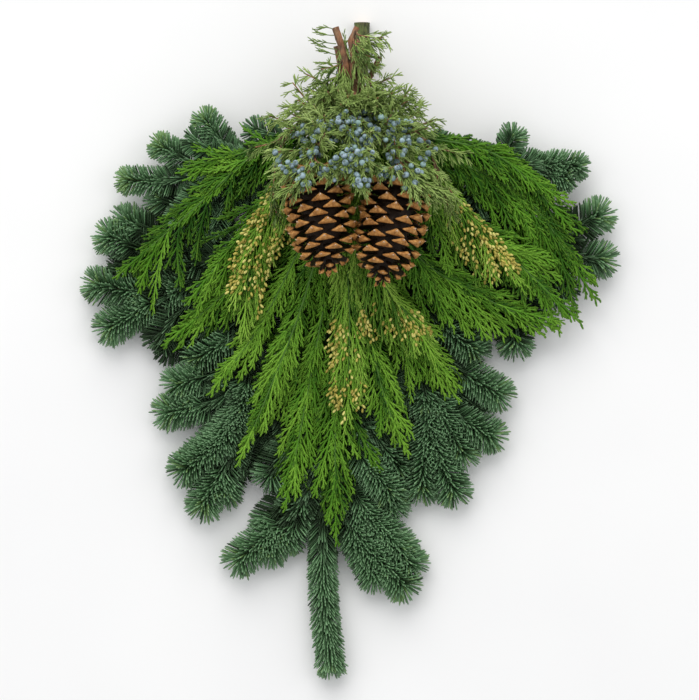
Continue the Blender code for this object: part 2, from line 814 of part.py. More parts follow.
def binding_outline():
    """The corners (x, z) of a loop that lies close round all the stems."""
    circles = tie_circles()
    clear = WIRE_R + GAP
    ways = [2 * math.pi * i / BINDING_SIDES - math.pi / 2 for i in range(BINDING_SIDES)]
    reach = [max(x * math.cos(w) + z * math.sin(w) + r for x, z, r in circles) + clear for w in ways]
    corners = []
    for i in range(BINDING_SIDES):
        a, b = ways[i - 1], ways[i]
        turn = math.sin(b - a)
        x = (reach[i - 1] * math.sin(b) - reach[i] * math.sin(a)) / turn
        z = (reach[i] * math.cos(a) - reach[i - 1] * math.cos(b)) / turn
        corners.append((x, z))
    return corners


def add_binding():
    """The wire that binds the stems: a loop to hang the swag by, then its turns round them all."""
    outline = binding_outline()
    low = min(z for _, z in outline)
    loop_x = outline[0][0] + HANG_LOOP_WIDE * 0.8 * MM
    loop_r = HANG_LOOP_WIDE / 2 * MM
    first_y = (TIE_Y + BINDING_TURNS * BINDING_PITCH / 2) * MM
    loop_y = first_y + HANG_LOOP_LONG * MM - loop_r
    places = [Vector((loop_x + loop_r * 0.3, first_y + 5 * MM, low))]
    for i in range(9):
        turn = math.radians(-60 + 300 * i / 8)
        places.append(Vector((loop_x + loop_r * math.cos(turn), loop_y + loop_r * math.sin(turn), low)))
    places.append(Vector((loop_x - loop_r * 0.3, first_y + 5 * MM, low)))
    for i in range(BINDING_TURNS * BINDING_SIDES + 1):
        x, z = outline[-i % BINDING_SIDES]
        places.append(Vector((x, first_y - BINDING_PITCH * MM * i / BINDING_SIDES, z)))
    wire("wire_binding", places)


def add_cone_wires():
    """A wire twisted round each cone's stub, which then runs back through the tie."""
    for name, (base, tip, _) in CONES.items():
        start, end = at(*base), at(*tip)
        axis = (end - start).normalized()
        across = axis.cross(UP).normalized()
        outward = across.cross(axis)
        ring = CONE_STUB_R + WIRE_R + GAP
        places = []
        for i in range(9):
            turn = math.radians(-90 + 54 * i)
            middle = start - axis * (1.6 + 0.6 * i) * MM
            places.append(middle + (across * math.cos(turn) + outward * math.sin(turn)) * ring)
        x, z = CONE_WIRE_SEATS[name]
        seat = at(x, TIE_Y, z)
        leave = places[-1]
        path = curve_through([
            leave,
            leave.lerp(seat, 0.45) + UP * -6 * MM,
            at(x, TIE_Y - STRAIGHT, z),
            seat,
            at(x, TIE_Y + STUB * 0.6, z),
        ])
        places += evenly(path, 18 * MM)[1:]
        wire("wire_of_" + name, places)


for leftover in list(bpy.data.objects):
    bpy.data.objects.remove(leftover)
swag = bpy.data.collections.new("door_swag")
bpy.context.scene.collection.children.link(swag)

add_fir_stems()
add_cedar_ribs()
add_juniper_stems()
add_cone_wires()
add_binding()
add_cones()
add_juniper_twigs()
add_cedar_sprays()
add_fir_twigs()

for spiky in [juniper_leaf, cedar_finger, fir_needle]:
    for twig in [p for p in pieces if p["spike"] is spiky]:
        raise_spikes(twig)
    if spiky is juniper_leaf:
        add_berries()
    if spiky is cedar_finger:
        add_pollen_cones()

for node in dict.fromkeys(piece["node"] for piece in pieces):
    fuse(node)
stand_on_origin()
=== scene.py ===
"""The looks of the Christmas door swag: fine foliage, berries and cones in place of its plain solids.

Lengths in the tables and in the making are millimetres, as in the solids, where a comment doesn't say
pixels or metres. build() turns them into metres and moves them so that the swag's box stands on the
origin.
"""

import math

import bpy
import numpy as np
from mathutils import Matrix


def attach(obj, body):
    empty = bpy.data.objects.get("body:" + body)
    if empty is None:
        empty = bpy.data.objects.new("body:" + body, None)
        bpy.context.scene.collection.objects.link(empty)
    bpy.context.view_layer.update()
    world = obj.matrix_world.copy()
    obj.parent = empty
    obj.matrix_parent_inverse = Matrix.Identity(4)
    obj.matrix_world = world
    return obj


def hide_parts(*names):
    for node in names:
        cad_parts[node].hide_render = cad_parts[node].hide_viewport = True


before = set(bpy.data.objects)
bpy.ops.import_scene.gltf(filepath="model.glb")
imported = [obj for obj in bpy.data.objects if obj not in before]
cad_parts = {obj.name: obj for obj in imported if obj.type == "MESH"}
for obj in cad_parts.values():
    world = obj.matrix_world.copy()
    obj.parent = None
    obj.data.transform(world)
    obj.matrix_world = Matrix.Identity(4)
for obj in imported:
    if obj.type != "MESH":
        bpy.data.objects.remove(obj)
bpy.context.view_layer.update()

MM = 0.001
CENTRE = np.array([1.026, -0.163, 0.0])  # the middle of the swag's box, as the tables place it
UP = np.array([0.0, 0.0, 1.0])
DOWN = np.array([0.0, -1.0, 0.0])  # the way that sprays hang
GOLDEN = math.pi * (3 - math.sqrt(5))
LOWEST = 0.3  # foliage that would sink below this lies on the table
CURVE_STEPS = 12  # from one point of a smooth curve to the next
STEM_STEP = 4  # between the rings of a stem
TWIG_STEP = 6
LEAVES, BARK, FRUIT = 0, 1, 2  # the kinds of faces, by the order of a piece's materials

# The tie, where the wire binds every stem, how far the shorter stems reach past it, and how far
# below it the stems stay straight.
TIE_Y = 264
STUB = 15
STRAIGHT = 12

# Fir
FIR_NEEDLE = 25
FIR_NEEDLE_CROSS = (2.1, 1.4)
FIR_NEEDLE_SHAPE = [(0.0, 0.8), (0.93, 0.95)]
FIR_UPPER_NEEDLE = 0.78  # how long the upper boughs' needles are beside the others
FIR_BROAD = 70  # the needles' angle from their twig, in degrees
FIR_NARROW = 45
FIR_PAST = 20  # how far the needles reach past a twig's end
FIR_TWIG_R = 1.3
FIR_BARE = 0.22  # the share of a stem that has no needles, of the upper boughs' stems, and of a filler
FIR_UPPER_BARE = 0.6
FIR_FILLER_BARE = 0.4
FIR_STEP = 3.5  # between needles of one row
FIR_ROWS = (-125, -92, -70, -48, -28, -9, 9, 28, 48, 70, 92, 125, 180)  # round the twig, in degrees
FIR_END_NEEDLES = 44
FIR_CUT_R = 8.4
FIR_CUT_Z = FIR_CUT_R * math.cos(math.radians(30))
FIR_CUT_FROM = 282  # the y where the thick stem starts to widen, and how far it takes
FIR_CUT_WIDENS = 20

# Each fir bough: its seat in the tie (x, z), the stem's radius there and at its end, the tip of its
# leading twig, the ends of a stem that reaches past the tie, and the stem's route (x, y, z). Its side
# twigs, and the fillers behind them, each give the share of the stem where they start and the place of
# their end.
FIR_BOUGHS = {
    "fir_bough_centre": {
        "seat": (8, 9.5), "radius": (7.0, 2.6), "leader": (-19, -343, 17),
        "ends": [(13.3, 350, FIR_CUT_Z), (13.3, 329.5, FIR_CUT_Z), (13.5, 308, FIR_CUT_Z)],
        "stem": [(3, 160, 12), (-10, 22, 14), (-21, -84, 15), (-28, -165, 16)],
        "twigs": [
            (0.62, -69, -36, 20), (0.6, 49, -36, 20), (0.64, -88, -136, 19), (0.72, 46, -154, 21),
            (0.84, -120, -225, 18), (0.86, 60, -252, 18),
        ],
        "fillers": [
            (0.52, -50, -90, 15), (0.5, -76, -72, 13), (0.66, 30, -110, 15), (0.6, 52, -108, 13),
            (0.8, -89, -184, 15), (0.8, 58, -214, 15), (0.82, 30, -243, 16), (0.83, 68, -230, 14),
            (0.24, -48, 90, 11), (0.24, 50, 80, 11), (0.3, -58, 50, 11), (0.3, 56, 40, 11),
            (0.36, -62, 10, 12), (0.36, 60, 0, 12), (0.44, -62, -30, 12), (0.44, 30, -40, 12),
            (0.56, -82, -96, 12), (0.58, -74, -120, 12), (0.62, 56, -130, 12), (0.5, -104, -100, 12),
            (0.66, 48, -170, 12), (0.74, -68, -204, 12), (0.78, -88, -216, 14),
        ],
    },
    "fir_bough_left": {
        "seat": (-16, 7.5), "radius": (4.6, 2.4), "leader": (-271, 71, 17),
        "stem": [(-30, 212, 10), (-69, 151, 12), (-122, 95, 13), (-176, 68, 14)],
        "twigs": [(0.66, -259, 123, 19), (0.7, -156, 24, 18), (0.8, -203, 12, 18), (0.9, -258, 23, 17)],
        "fillers": [
            (0.74, -238, 95, 16), (0.6, -242, 139, 15), (0.86, -224, 46, 15), (0.5, -204, 164, 14),
            (0.78, -246, 86, 13),
        ],
    },
    "fir_bough_lower_left": {
        "seat": (-5.5, 7.5), "radius": (4.6, 2.4), "leader": (-157, -167, 17),
        "stem": [(-35, 172, 11), (-74, 76, 13), (-102, 1, 14), (-113, -62, 15)],
        "twigs": [(0.76, -186, -37, 20), (0.86, -196, -66, 16), (0.95, -178, -128, 20)],
        "fillers": [
            (0.6, -165, -10, 15), (0.8, -172, -52, 14), (0.9, -150, -108, 15), (0.55, -197, 4, 13),
            (0.74, -114, -124, 12), (0.84, -134, -154, 13), (0.9, -170, -122, 13),
        ],
    },
    "fir_bough_lower_right": {
        "seat": (21.5, 7.5), "radius": (4.6, 2.4), "leader": (112, -152, 17),
        "stem": [(41, 162, 11), (63, 65, 13), (75, -9, 14), (82, -62, 15)],
        "twigs": [(0.66, 161, -48, 20), (0.86, 153, -92, 17)],
        "fillers": [
            (0.34, 128, 40, 14), (0.45, 60, -50, 14), (0.62, 56, -105, 14), (0.52, 135, -2, 14),
            (0.74, 132, -60, 14), (0.8, 122, -112, 15), (0.3, 100, 60, 12), (0.9, 76, -150, 15),
        ],
    },
    "fir_bough_right": {
        "seat": (32, 7.5), "radius": (4.6, 2.4), "leader": (271, 97, 17),
        "stem": [(59, 204, 10), (124, 146, 12), (182, 116, 14), (212, 106, 15)],
        "twigs": [(0.62, 177, 4, 17), (0.8, 268, 146, 19), (0.86, 226, 62, 18)],
        "fillers": [
            (0.4, 150, 60, 14), (0.7, 190, 40, 14), (0.75, 236, 120, 15), (0.42, 160, 30, 12),
            (0.45, 120, 90, 12),
        ],
    },
    "fir_bough_upper_left": {
        "seat": (0, 21), "radius": (3.9, 2.3), "leader": (-234, 181, 24),
        "stem": [(-53, 231, 25), (-106, 204, 27), (-160, 186, 26)],
        "twigs": [
            (0.66, -152, 244, 27), (0.68, -163, 222, 30), (0.8, -199, 217, 25), (0.72, -180, 142, 30),
        ],
        "fillers": [(0.6, -150, 160, 22), (0.5, -146, 132, 18), (0.4, -98, 233, 26), (0.3, -104, 166, 15)],
    },
    "fir_bough_upper_right": {
        "seat": (16, 21), "radius": (3.9, 2.3), "leader": (240, 196, 24),
        "stem": [(59, 240, 25), (108, 217, 27), (161, 201, 26), (193, 199, 25)],
        "twigs": [(0.46, 134, 196, 28), (0.78, 173, 226, 27), (0.8, 228, 184, 25)],
        "fillers": [(0.6, 180, 171, 22), (0.45, 140, 150, 20)],
    },
}

# Cedar
CEDAR_R = 1.6
CEDAR_RIB_END_R = 0.7
CEDAR_ROW_Z = 27.5
CEDAR_ROW_STEP = 3.3
CEDAR_SHELL_Z = 37
CEDAR_LAYER = 5.0
CEDAR_DROOP = 10
CEDAR_SHORTER = 42  # how far before its end a rib gives way to the end spray
CEDAR_FINGER_STEP = 5.4
CEDAR_SPRAY_CROSS = (3.0, 1.6)
CEDAR_FINGER_CROSS = (2.9, 1.3)
CEDAR_LEAF_CROSS = (2.4, 1.1)
CEDAR_SIDES_UNTIL = 0.50  # the share of the rib that has short side sprays
CEDAR_UPWARD = 36  # the length of the sprays that reach up, and where it is another
CEDAR_UPWARD_ON = {"cedar_frond_13": 28, "cedar_frond_14": 11}
CEDAR_OPEN = ["cedar_frond_01", "cedar_frond_02", "cedar_frond_03"]  # the fir shows between their sprays
CEDAR_COVERS = 19  # how far from a frond's places the fir starts to be covered, and how soon it wholly is
CEDAR_COVER_EDGE = 10
CEDAR_NEARER = 1.011  # how much larger the fronds look than what lies on the floor
CEDAR_EARLIER = (0.03, 0.08)  # the share of the rib by which sprays start before they show, left and right
CEDAR_SPRAYS_FROM = 0.12  # the first share of the rib that carries one

# Each frond: its layer, from the fir outwards, its x in the tie, how much lighter or darker it is than
# the middle of its colours, as painted light and shade, its rib's places (x, y), and its sprays as they
# show
# in the photograph: the pixel where each leaves the rib, and the one at its end.
CEDAR_FRONDS = {
    "cedar_frond_01": (0, -4, -0.15, [(-94, 216), (-181, 188)], [
        (270, 147, 241, 125), (262, 149, 246, 141), (235, 157, 214, 150), (225, 160, 193, 143),
        (255, 152, 252, 176), (244, 155, 228, 180), (228, 160, 203, 183), (213, 163, 186, 180),
        (205, 165, 183, 161),
    ]),
    "cedar_frond_02": (1, -4, -0.25, [(-101, 207), (-166, 149), (-249, 77)], [
        (243, 166, 206, 172), (232, 176, 189, 190), (222, 186, 183, 205), (205, 202, 164, 217),
        (192, 214, 144, 236), (168, 236, 138, 250), (230, 180, 226, 212), (205, 204, 196, 262),
        (186, 220, 188, 246), (178, 227, 181, 289), (162, 240, 153, 314), (152, 250, 139, 277),
        (158, 252, 138, 294), (140, 261, 136, 280),
    ]),
    "cedar_frond_03": (2, -4, -0.2, [(-80, 172), (-117, 121), (-173, 48)], [
        (258, 212, 215, 220), (246, 230, 204, 241), (238, 243, 207, 262), (228, 255, 203, 278),
        (262, 208, 258, 236), (250, 226, 237, 262), (244, 236, 232, 276), (238, 243, 217, 296),
        (215, 272, 204, 303), (205, 284, 196, 316), (275, 170, 262, 207), (270, 180, 246, 216),
        (276, 165, 277, 208),
    ]),
    "cedar_frond_04": (0, -0.7, -0.12, [(-69, 145), (-117, 76), (-197, 6)], [
        (268, 242, 236, 262), (258, 257, 222, 284), (245, 275, 206, 296), (236, 285, 197, 308),
        (222, 298, 183, 317), (208, 311, 172, 330), (262, 252, 248, 292), (250, 270, 234, 310),
        (240, 282, 222, 326), (228, 293, 205, 338), (212, 308, 190, 346), (196, 322, 176, 350),
    ]),
    "cedar_frond_05": (1, -0.7, 0.18, [(-53, 108), (-98, 22), (-149, -46)], [
        (290, 268, 262, 300), (278, 292, 248, 322), (268, 312, 230, 344), (258, 330, 232, 362),
        (246, 346, 222, 372), (288, 272, 280, 312), (274, 300, 262, 345), (262, 322, 252, 368),
        (252, 338, 240, 380), (236, 360, 214, 380),
    ]),
    "cedar_frond_06": (2, -0.7, 0.32, [(-48, 55), (-85, -42), (-119, -122)], [
        (298, 320, 268, 356), (292, 335, 262, 385), (284, 355, 254, 402), (278, 368, 250, 418),
        (296, 325, 292, 368), (288, 345, 282, 396), (282, 360, 272, 418), (274, 380, 262, 434),
        (258, 418, 245, 445), (248, 442, 241, 452),
    ]),
    "cedar_frond_07": (0, 2.6, 0.03, [(-26, 55), (-48, -63), (-69, -170)], [
        (322, 330, 300, 372), (319, 345, 290, 392), (316, 360, 262, 432), (311, 385, 284, 424),
        (306, 405, 276, 456), (302, 425, 276, 478), (296, 452, 280, 496), (318, 350, 322, 392),
        (312, 378, 316, 420), (307, 402, 318, 442), (303, 420, 313, 472), (298, 445, 304, 488),
        (293, 470, 296, 500),
    ]),
    "cedar_frond_08": (1, 2.6, -0.15, [(-8, 33), (-15, -85), (-14, -205)], [
        (341, 345, 322, 388), (339, 372, 318, 420), (337, 400, 312, 446), (336, 425, 315, 496),
        (336, 455, 322, 510), (336, 490, 328, 524), (340, 355, 358, 398), (338, 390, 381, 471),
        (336, 415, 358, 458), (336, 440, 350, 497), (336, 475, 345, 516),
    ]),
    "cedar_frond_09": (2, 2.6, 0.22, [(17, 44), (38, -52), (63, -111)], [
        (367, 330, 350, 372), (372, 350, 358, 396), (378, 372, 368, 416), (384, 395, 380, 438),
        (390, 415, 396, 446), (370, 342, 392, 384), (374, 358, 403, 404), (380, 380, 408, 416),
        (388, 408, 414, 436),
    ]),
    "cedar_frond_10": (0, 5.9, 0.28, [(38, 65), (81, 1), (117, -55)], [
        (394, 305, 390, 346), (402, 318, 398, 372), (410, 330, 411, 403), (418, 341, 420, 384),
        (425, 350, 434, 392), (437, 368, 446, 398), (394, 290, 430, 322), (400, 300, 444, 340),
        (398, 310, 424, 330), (408, 325, 440, 348), (416, 338, 454, 362), (428, 354, 468, 383),
        (440, 374, 462, 390),
    ]),
    "cedar_frond_11": (1, 5.9, 0.0, [(70, 103), (145, 55), (223, 22)], [
        (420, 258, 420, 300), (430, 266, 438, 312), (442, 274, 450, 318), (452, 281, 468, 331),
        (464, 288, 487, 340), (476, 294, 504, 338), (490, 301, 518, 340), (503, 306, 531, 332),
        (520, 313, 546, 337), (402, 258, 404, 304), (410, 260, 426, 320), (424, 266, 454, 330),
        (440, 276, 474, 338), (440, 272, 486, 285), (460, 285, 500, 294), (478, 295, 517, 297),
        (500, 305, 536, 310), (520, 313, 564, 323),
    ]),
    "cedar_frond_12": (2, 5.9, -0.16, [(86, 162), (166, 103), (246, 28)], [
        (434, 200, 434, 256), (440, 205, 450, 274), (446, 208, 466, 280), (448, 212, 456, 250),
        (464, 224, 478, 262), (480, 236, 498, 272), (496, 248, 516, 286), (512, 262, 534, 296),
        (528, 276, 552, 306), (540, 288, 560, 332), (552, 298, 572, 321), (470, 228, 512, 238),
        (488, 242, 530, 254), (506, 256, 548, 268), (524, 272, 556, 284), (478, 232, 530, 240),
        (500, 250, 556, 262), (512, 262, 562, 278),
    ]),
    "cedar_frond_13": (0, 9.2, -0.2, [(91, 210), (190, 158), (262, 52)], [
        (452, 160, 462, 196), (468, 167, 484, 204), (484, 176, 502, 214), (500, 185, 520, 224),
        (514, 194, 536, 240), (528, 204, 550, 256), (540, 216, 560, 276), (552, 232, 576, 294),
        (564, 250, 575, 315), (476, 170, 520, 180), (496, 182, 540, 196), (516, 195, 562, 212),
        (534, 210, 575, 240), (550, 230, 580, 262), (572, 266, 598, 284), (490, 180, 500, 230),
        (506, 190, 518, 246), (520, 202, 534, 266), (534, 214, 548, 286),
    ]),
    "cedar_frond_14": (1, 9.2, -0.17, [(81, 226), (161, 204), (241, 124)], [
        (446, 143, 470, 137), (460, 145, 490, 148), (478, 150, 512, 152), (494, 157, 530, 164),
        (508, 165, 547, 184), (522, 176, 560, 200), (538, 190, 574, 205), (552, 205, 588, 231),
        (462, 146, 482, 172), (480, 151, 504, 182), (498, 160, 522, 192), (514, 170, 534, 206),
        (532, 184, 550, 218), (546, 198, 562, 234),
    ]),
    "pollen_frond_1": (3, -2.5, 0.0, [(-70, 168), (-102, 102), (-112, 18)], []),
    "pollen_frond_2": (3, 2, 0.0, [(-2, 97), (0, 33), (-2, -74)], []),
    "pollen_frond_3": (4, 4, 0.0, [(27, 87), (65, 33), (91, -10)], []),
    "pollen_frond_4": (3, 6.5, 0.0, [(81, 188), (134, 129), (182, 71)], []),
}

# Pollen cones: how many of the fingers carry them, and the patches where they hang, each with its
# middle (x, y) and half sizes.
POLLEN_SHARE = 0.64
POLLEN_HALF_LENGTH = (2.1, 2.9)
POLLEN_R = 1.4
POLLEN_SPRAY_CROSS = (2.4, 1.5)
POLLEN_FINGER_CROSS = (2.3, 1.2)
POLLEN_LEAF_CROSS = (2.0, 1.1)
POLLEN_PATCHES = [
    ((-100, 110), (42, 70)), ((-76, 40), (20, 34)), ((-13, 2), (23, 23)), ((22, 23), (16, 19)),
    ((70, 28), (32, 20)), ((44, -6), (18, 9)), ((-12, -47), (29, 27)), ((148, 116), (46, 50)),
    ((92, 81), (30, 15)),
]

# Juniper
JUNIPER_SPRIG = (14, 25)
JUNIPER_SPRIG_CROSS = (1.7, 1.5)
JUNIPER_LEAF_CROSS = (1.5, 1.3)
JUNIPER_TWIG_R = (1.3, 0.7)
STUB_R = (2.7, 2.9)
WISP_CROSS = (1.2, 1.1)
WISP_LEAF_CROSS = (1.4, 1.3)
SPRIG_STEP = 2.5  # between a twig's sprigs, and on a thin twig
THIN_STEP = 4.0
THIN_FROM = 285  # the y above which the twigs are thin
STEMS_SHOW_FROM = 286  # the y above which other twigs' sprigs would hide the stems
BETWEEN_BELOW = 272  # the y up to which there are twigs between the others
BERRY_MIDDLE = (6, 202)
BERRY_HALF = (86, 48)
BERRY_SHARE = 0.36
BERRY_R = (2.7, 3.5)
BERRY_STALK_CROSS = (0.9, 0.9)

# Each juniper branch, as for the fir. Wisps are thin shoots from the cut stems, through three places.
# Stubs are more cut stems.
JUNIPER_BRANCHES = {
    "juniper_branch_left": {
        "seat": (-3, 47), "radius": (4.0, 1.9),
        "ends": [(-15, 341, 51), (-9, 323, 51), (-4, 305, 50), (-1.5, 289, 48)],
        "stem": [(-9, 243, 64), (-26, 220, 93), (-38, 200, 120), (-42, 182, 135)],
        "twigs": [
            (0.14, -30, 296, 60), (0.26, -48, 292, 62), (0.5, -54, 262, 84), (0.6, -66, 232, 104),
            (0.64, -26, 244, 120), (0.78, -72, 188, 120), (0.86, -20, 190, 142), (0.96, -68, 164, 134),
        ],
        "fillers": [(0.03, -3, 326, 42), (0.06, -4, 308, 42), (0.16, -28, 280, 66), (0.14, -14, 268, 74)],
        "wisps": [
            [(-15, 338, 50), (-24, 341, 53), (-33, 339, 54)],
            [(-14, 333, 50), (-25, 333, 54), (-35, 336, 55)],
            [(-14, 324, 49), (-26, 325, 54), (-41, 328, 56)],
            [(-13, 318, 49), (-26, 320, 54), (-38, 325, 55)],
            [(-12, 312, 49), (-22, 314, 54), (-32, 317, 55)],
            [(-11, 303, 50), (-23, 303, 54), (-34, 303, 56)],
            [(-10, 296, 50), (-18, 300, 54), (-21, 304, 56)],
            [(-10, 290, 50), (-20, 293, 54), (-28, 294, 56)], [(-3, 296, 46), (-4, 315, 48), (-6, 336, 48)],
            [(0, 300, 45), (-2, 318, 46), (-9, 328, 47)],
        ],
    },
    "juniper_branch_right": {
        "seat": (6, 46.4), "radius": (2.9, 1.8),
        "ends": [(8, 341, 53), (0.5, 326, 54), (4.5, 307, 53), (4, 288, 50)],
        "stem": [(14, 243, 64), (35, 218, 90), (52, 195, 114), (60, 176, 126)],
        "twigs": [
            (0.14, 24, 300, 58), (0.26, 46, 288, 62), (0.5, 62, 262, 84), (0.6, 82, 232, 100),
            (0.64, 40, 240, 120), (0.78, 92, 184, 112), (0.86, 40, 188, 136), (0.92, 90, 160, 122),
        ],
        "fillers": [
            (0.01, 20, 330, 64), (0.03, 28, 322, 60), (0.04, 15, 316, 68), (0.05, 36, 330, 60),
            (0.06, 24, 308, 66), (0.1, 30, 300, 64), (0.12, 26, 276, 72),
        ],
        "wisps": [
            [(16, 332, 50), (26, 335, 56), (37, 333, 58)], [(16, 328, 50), (28, 330, 56), (38, 323, 58)],
            [(18, 326, 50), (28, 322, 56), (34, 310, 56)], [(18, 322, 50), (25, 318, 56), (29, 306, 56)],
            [(14, 330, 50), (20, 326, 58), (24, 314, 58)], [(10, 326, 50), (14, 322, 58), (17, 308, 58)],
            [(12, 318, 50), (18, 314, 58), (22, 300, 58)],
        ],
    },
    "juniper_branch_centre": {
        "seat": (3, 52.5), "radius": (2.4, 1.6),
        "stem": [(4, 240, 82), (7, 215, 114), (10, 192, 130)],
        "twigs": [(0.3, -4, 258, 106), (0.55, 24, 226, 136), (0.7, -8, 196, 144), (0.94, 12, 170, 146)],
        "fillers": [
            (0.02, -26, 273, 84), (0.02, -14, 264, 88), (0.02, 2, 262, 90), (0.02, 20, 264, 88),
            (0.02, 34, 273, 84), (0.05, -40, 272, 84), (0.05, 46, 270, 84), (0.15, -30, 262, 96),
            (0.15, 30, 264, 96), (0.2, 0, 268, 92), (0.45, -14, 236, 124), (0.5, 20, 206, 138),
            (0.8, 30, 190, 138), (0.8, -20, 186, 138), (0.7, 2, 196, 142),
        ],
        "stubs": [[(1, 310, 46), (3, 279, 50)], [(-5, 304, 44), (-1, 279, 46)]],
    },
    "juniper_branch_far_left": {
        "seat": (-9, 43), "radius": (2.4, 1.6),
        "stem": [(-36, 250, 60), (-66, 224, 72), (-78, 190, 77)],
        "twigs": [
            (0.3, -60, 282, 66), (0.5, -84, 246, 76), (0.66, -102, 212, 84), (0.8, -62, 178, 96),
            (0.96, -76, 142, 76),
        ],
        "stubs": [[(-14, 322, 42), (-10, 300, 43), (-8, 274, 43)]],
    },
    "juniper_branch_far_right": {
        "seat": (12, 44), "radius": (2.4, 1.6),
        "stem": [(44, 248, 64), (80, 218, 78), (94, 176, 80)],
        "twigs": [
            (0.3, 64, 275, 68), (0.5, 92, 243, 80), (0.66, 120, 206, 88), (0.82, 112, 158, 90),
            (0.9, 108, 142, 80),
        ],
        "stubs": [[(20, 286, 44), (26, 298, 48), (32, 310, 50)], [(7, 300, 44), (9, 276, 44)]],
    },
}

# Pine cones: each one's base and tip, and its greatest radius.
CONES = {
    "pine_cone_left": ((-37, 187, 92), (-20, 80, 118), 36),
    "pine_cone_right": ((53, 175, 88), (31, 70, 112), 36),
}
CONE_SCALES = 90
CONE_CORE = (0.02, 0.9)  # the shares of the cone where its core starts and ends
CONE_CORE_SHARE = 0.55  # how thick the core is beside the cone
CONE_STALK_R = 3.6
CONE_STALK = (7.7, 11)  # how far its stalk reaches out of the base, and into the cone
CONE_WIDEST_AT = 0.42
SCALE_WIDTHS = (7, 20)
SCALE_THICK = 12.5
SCALE_BOW = 2.4
# A scale's outline, seen from its end: across it, and up towards the cone's tip.
SCALE_OUTLINE = [
    (1.0, 0.14), (0.93, 0.30), (0.55, 0.36), (0.0, 0.38), (-0.55, 0.36), (-0.93, 0.30), (-1.0, 0.14),
    (-0.82, -0.12), (-0.50, -0.45), (-0.20, -0.84), (0.0, -1.0), (0.20, -0.84), (0.50, -0.45),
    (0.82, -0.12),
]
# A scale's rings, from the core outwards: its reach, width, thickness and rise towards the tip.
SCALE_RINGS = [
    (0.20, 0.62, 0.30, 0.00), (0.45, 0.70, 0.28, -0.02), (0.70, 0.86, 0.34, -0.02),
    (0.84, 0.96, 0.60, 0.00), (0.91, 1.00, 0.92, 0.00), (0.95, 1.00, 1.00, 0.00),
    (0.975, 0.93, 0.93, -0.01), (1.0, 0.70, 0.72, -0.07), (1.02, 0.44, 0.48, -0.15),
    (1.035, 0.22, 0.28, -0.23), (1.05, 0.12, 0.16, -0.28),
]

# The shapes of blades: the share along one, and its width and thickness there beside its greatest.
LEAF = [(0.0, 0.75), (0.5, 1.0), (0.92, 0.72)]
SHORT_LEAF = [(0.0, 0.85), (0.85, 0.85)]
LONG_STRAND = [(0.0, 1.0), (0.25, 0.97), (0.5, 0.93), (0.75, 0.88), (0.96, 0.7)]

# The photograph's frame: its width, the millimetres that a pixel stands for, and the pixel at the
# tables' origin.
IMAGE_WIDTH = 699
PIXEL = 1.07
ORIGIN_PIXEL = (349.5, 351)
LENS = 180
SENSOR = 36

# The studio, in metres: its floor, its sky, and each light's place, power, size and colour.
FLOOR_HALF = 6.0
SKY_COLOUR = (0.98, 0.99, 1.0, 1)
SKY_STRENGTH = 0.59
LIGHTS = {
    "key_light": ((-0.8, 6.3, 5.0), 525, 7.4, (1.0, 0.99, 0.97)),
    "left_light": ((-5.5, 1.0, 5.0), 70, 5.0, (1.0, 1.0, 1.0)),
    "right_light": ((5.5, 1.0, 5.0), 65, 5.0, (1.0, 1.0, 1.0)),
}


# Lines in space


def unit(v):
    return v / np.maximum(np.linalg.norm(v, axis=-1, keepdims=True), 1e-9)


def sideways(way, up=UP):
    """The directions to the right of a way and above it."""
    side = unit(np.cross(way, up))
    return side, np.cross(side, way)


def curve_through(points):
    """Closely spaced places on a smooth curve through the points."""
    points = [np.array(p, float) for p in points]
    ends = [2 * points[0] - points[1], *points, 2 * points[-1] - points[-2]]
    places = [points[0]]
    for a, b, c, d in zip(ends, ends[1:], ends[2:], ends[3:]):
        for i in range(1, CURVE_STEPS + 1):
            t = i / CURVE_STEPS
            bend = (2 * a - 5 * b + 4 * c - d) * t**2 + (3 * b - a - 3 * c + d) * t**3
            places.append(0.5 * (2 * b + (c - a) * t + bend))
    return np.array(places)


def lengths_on(route):
    return np.concatenate([[0], np.cumsum(np.linalg.norm(np.diff(route, axis=0), axis=1))])


def at_lengths(values, lengths, wanted):
    return np.stack([np.interp(wanted, lengths, values[:, k]) for k in range(3)], axis=1)


def evenly(route, step):
    """The same line with a place about every step."""
    lengths = lengths_on(route)
    return at_lengths(route, lengths, np.linspace(0, lengths[-1], max(2, round(lengths[-1] / step)) + 1))


def spots_on(route, shares):
    """The places on the route at these shares of its length, and the ways that it runs there."""
    lengths = lengths_on(route)
    wanted = np.asarray(shares) * lengths[-1]
    ways = np.gradient(route, lengths, axis=0)
    return at_lengths(route, lengths, wanted), unit(at_lengths(ways, lengths, wanted))


def cut_back(route, by):
    """The route without its last stretch."""
    lengths = lengths_on(route)
    return at_lengths(route, lengths, np.linspace(0, lengths[-1] - by, len(route)))


def stem_places(seat, stem, ends=()):
    """A stem's places: its cut end, straight through the tie, then on through its own places."""
    x, z = seat
    top, knee = (x, TIE_Y + STUB, z), (x, TIE_Y - STRAIGHT, z)
    rest = curve_through([top, knee, *stem])[CURVE_STEPS:]
    return np.array([*ends, top, *evenly(rest, 8)], float)


def side_route(route, share, end):
    """A side twig's route: out of the stem's middle, along with it at first, then away to its end."""
    start, way = (a[0] for a in spots_on(route, [share]))
    end = np.array(end, float)
    bend = start + way * 0.22 * np.linalg.norm(end - start) + (end - start) * 0.28
    return curve_through([start, bend, end])


def smooth(share):
    share = np.clip(share, 0, 1)
    return share * share * (3 - 2 * share)


def chance_for(name):
    return np.random.default_rng(list(name.encode()))


# Meshes. Each corner carries three tones: a draw for its blade, its share along it, and round it.


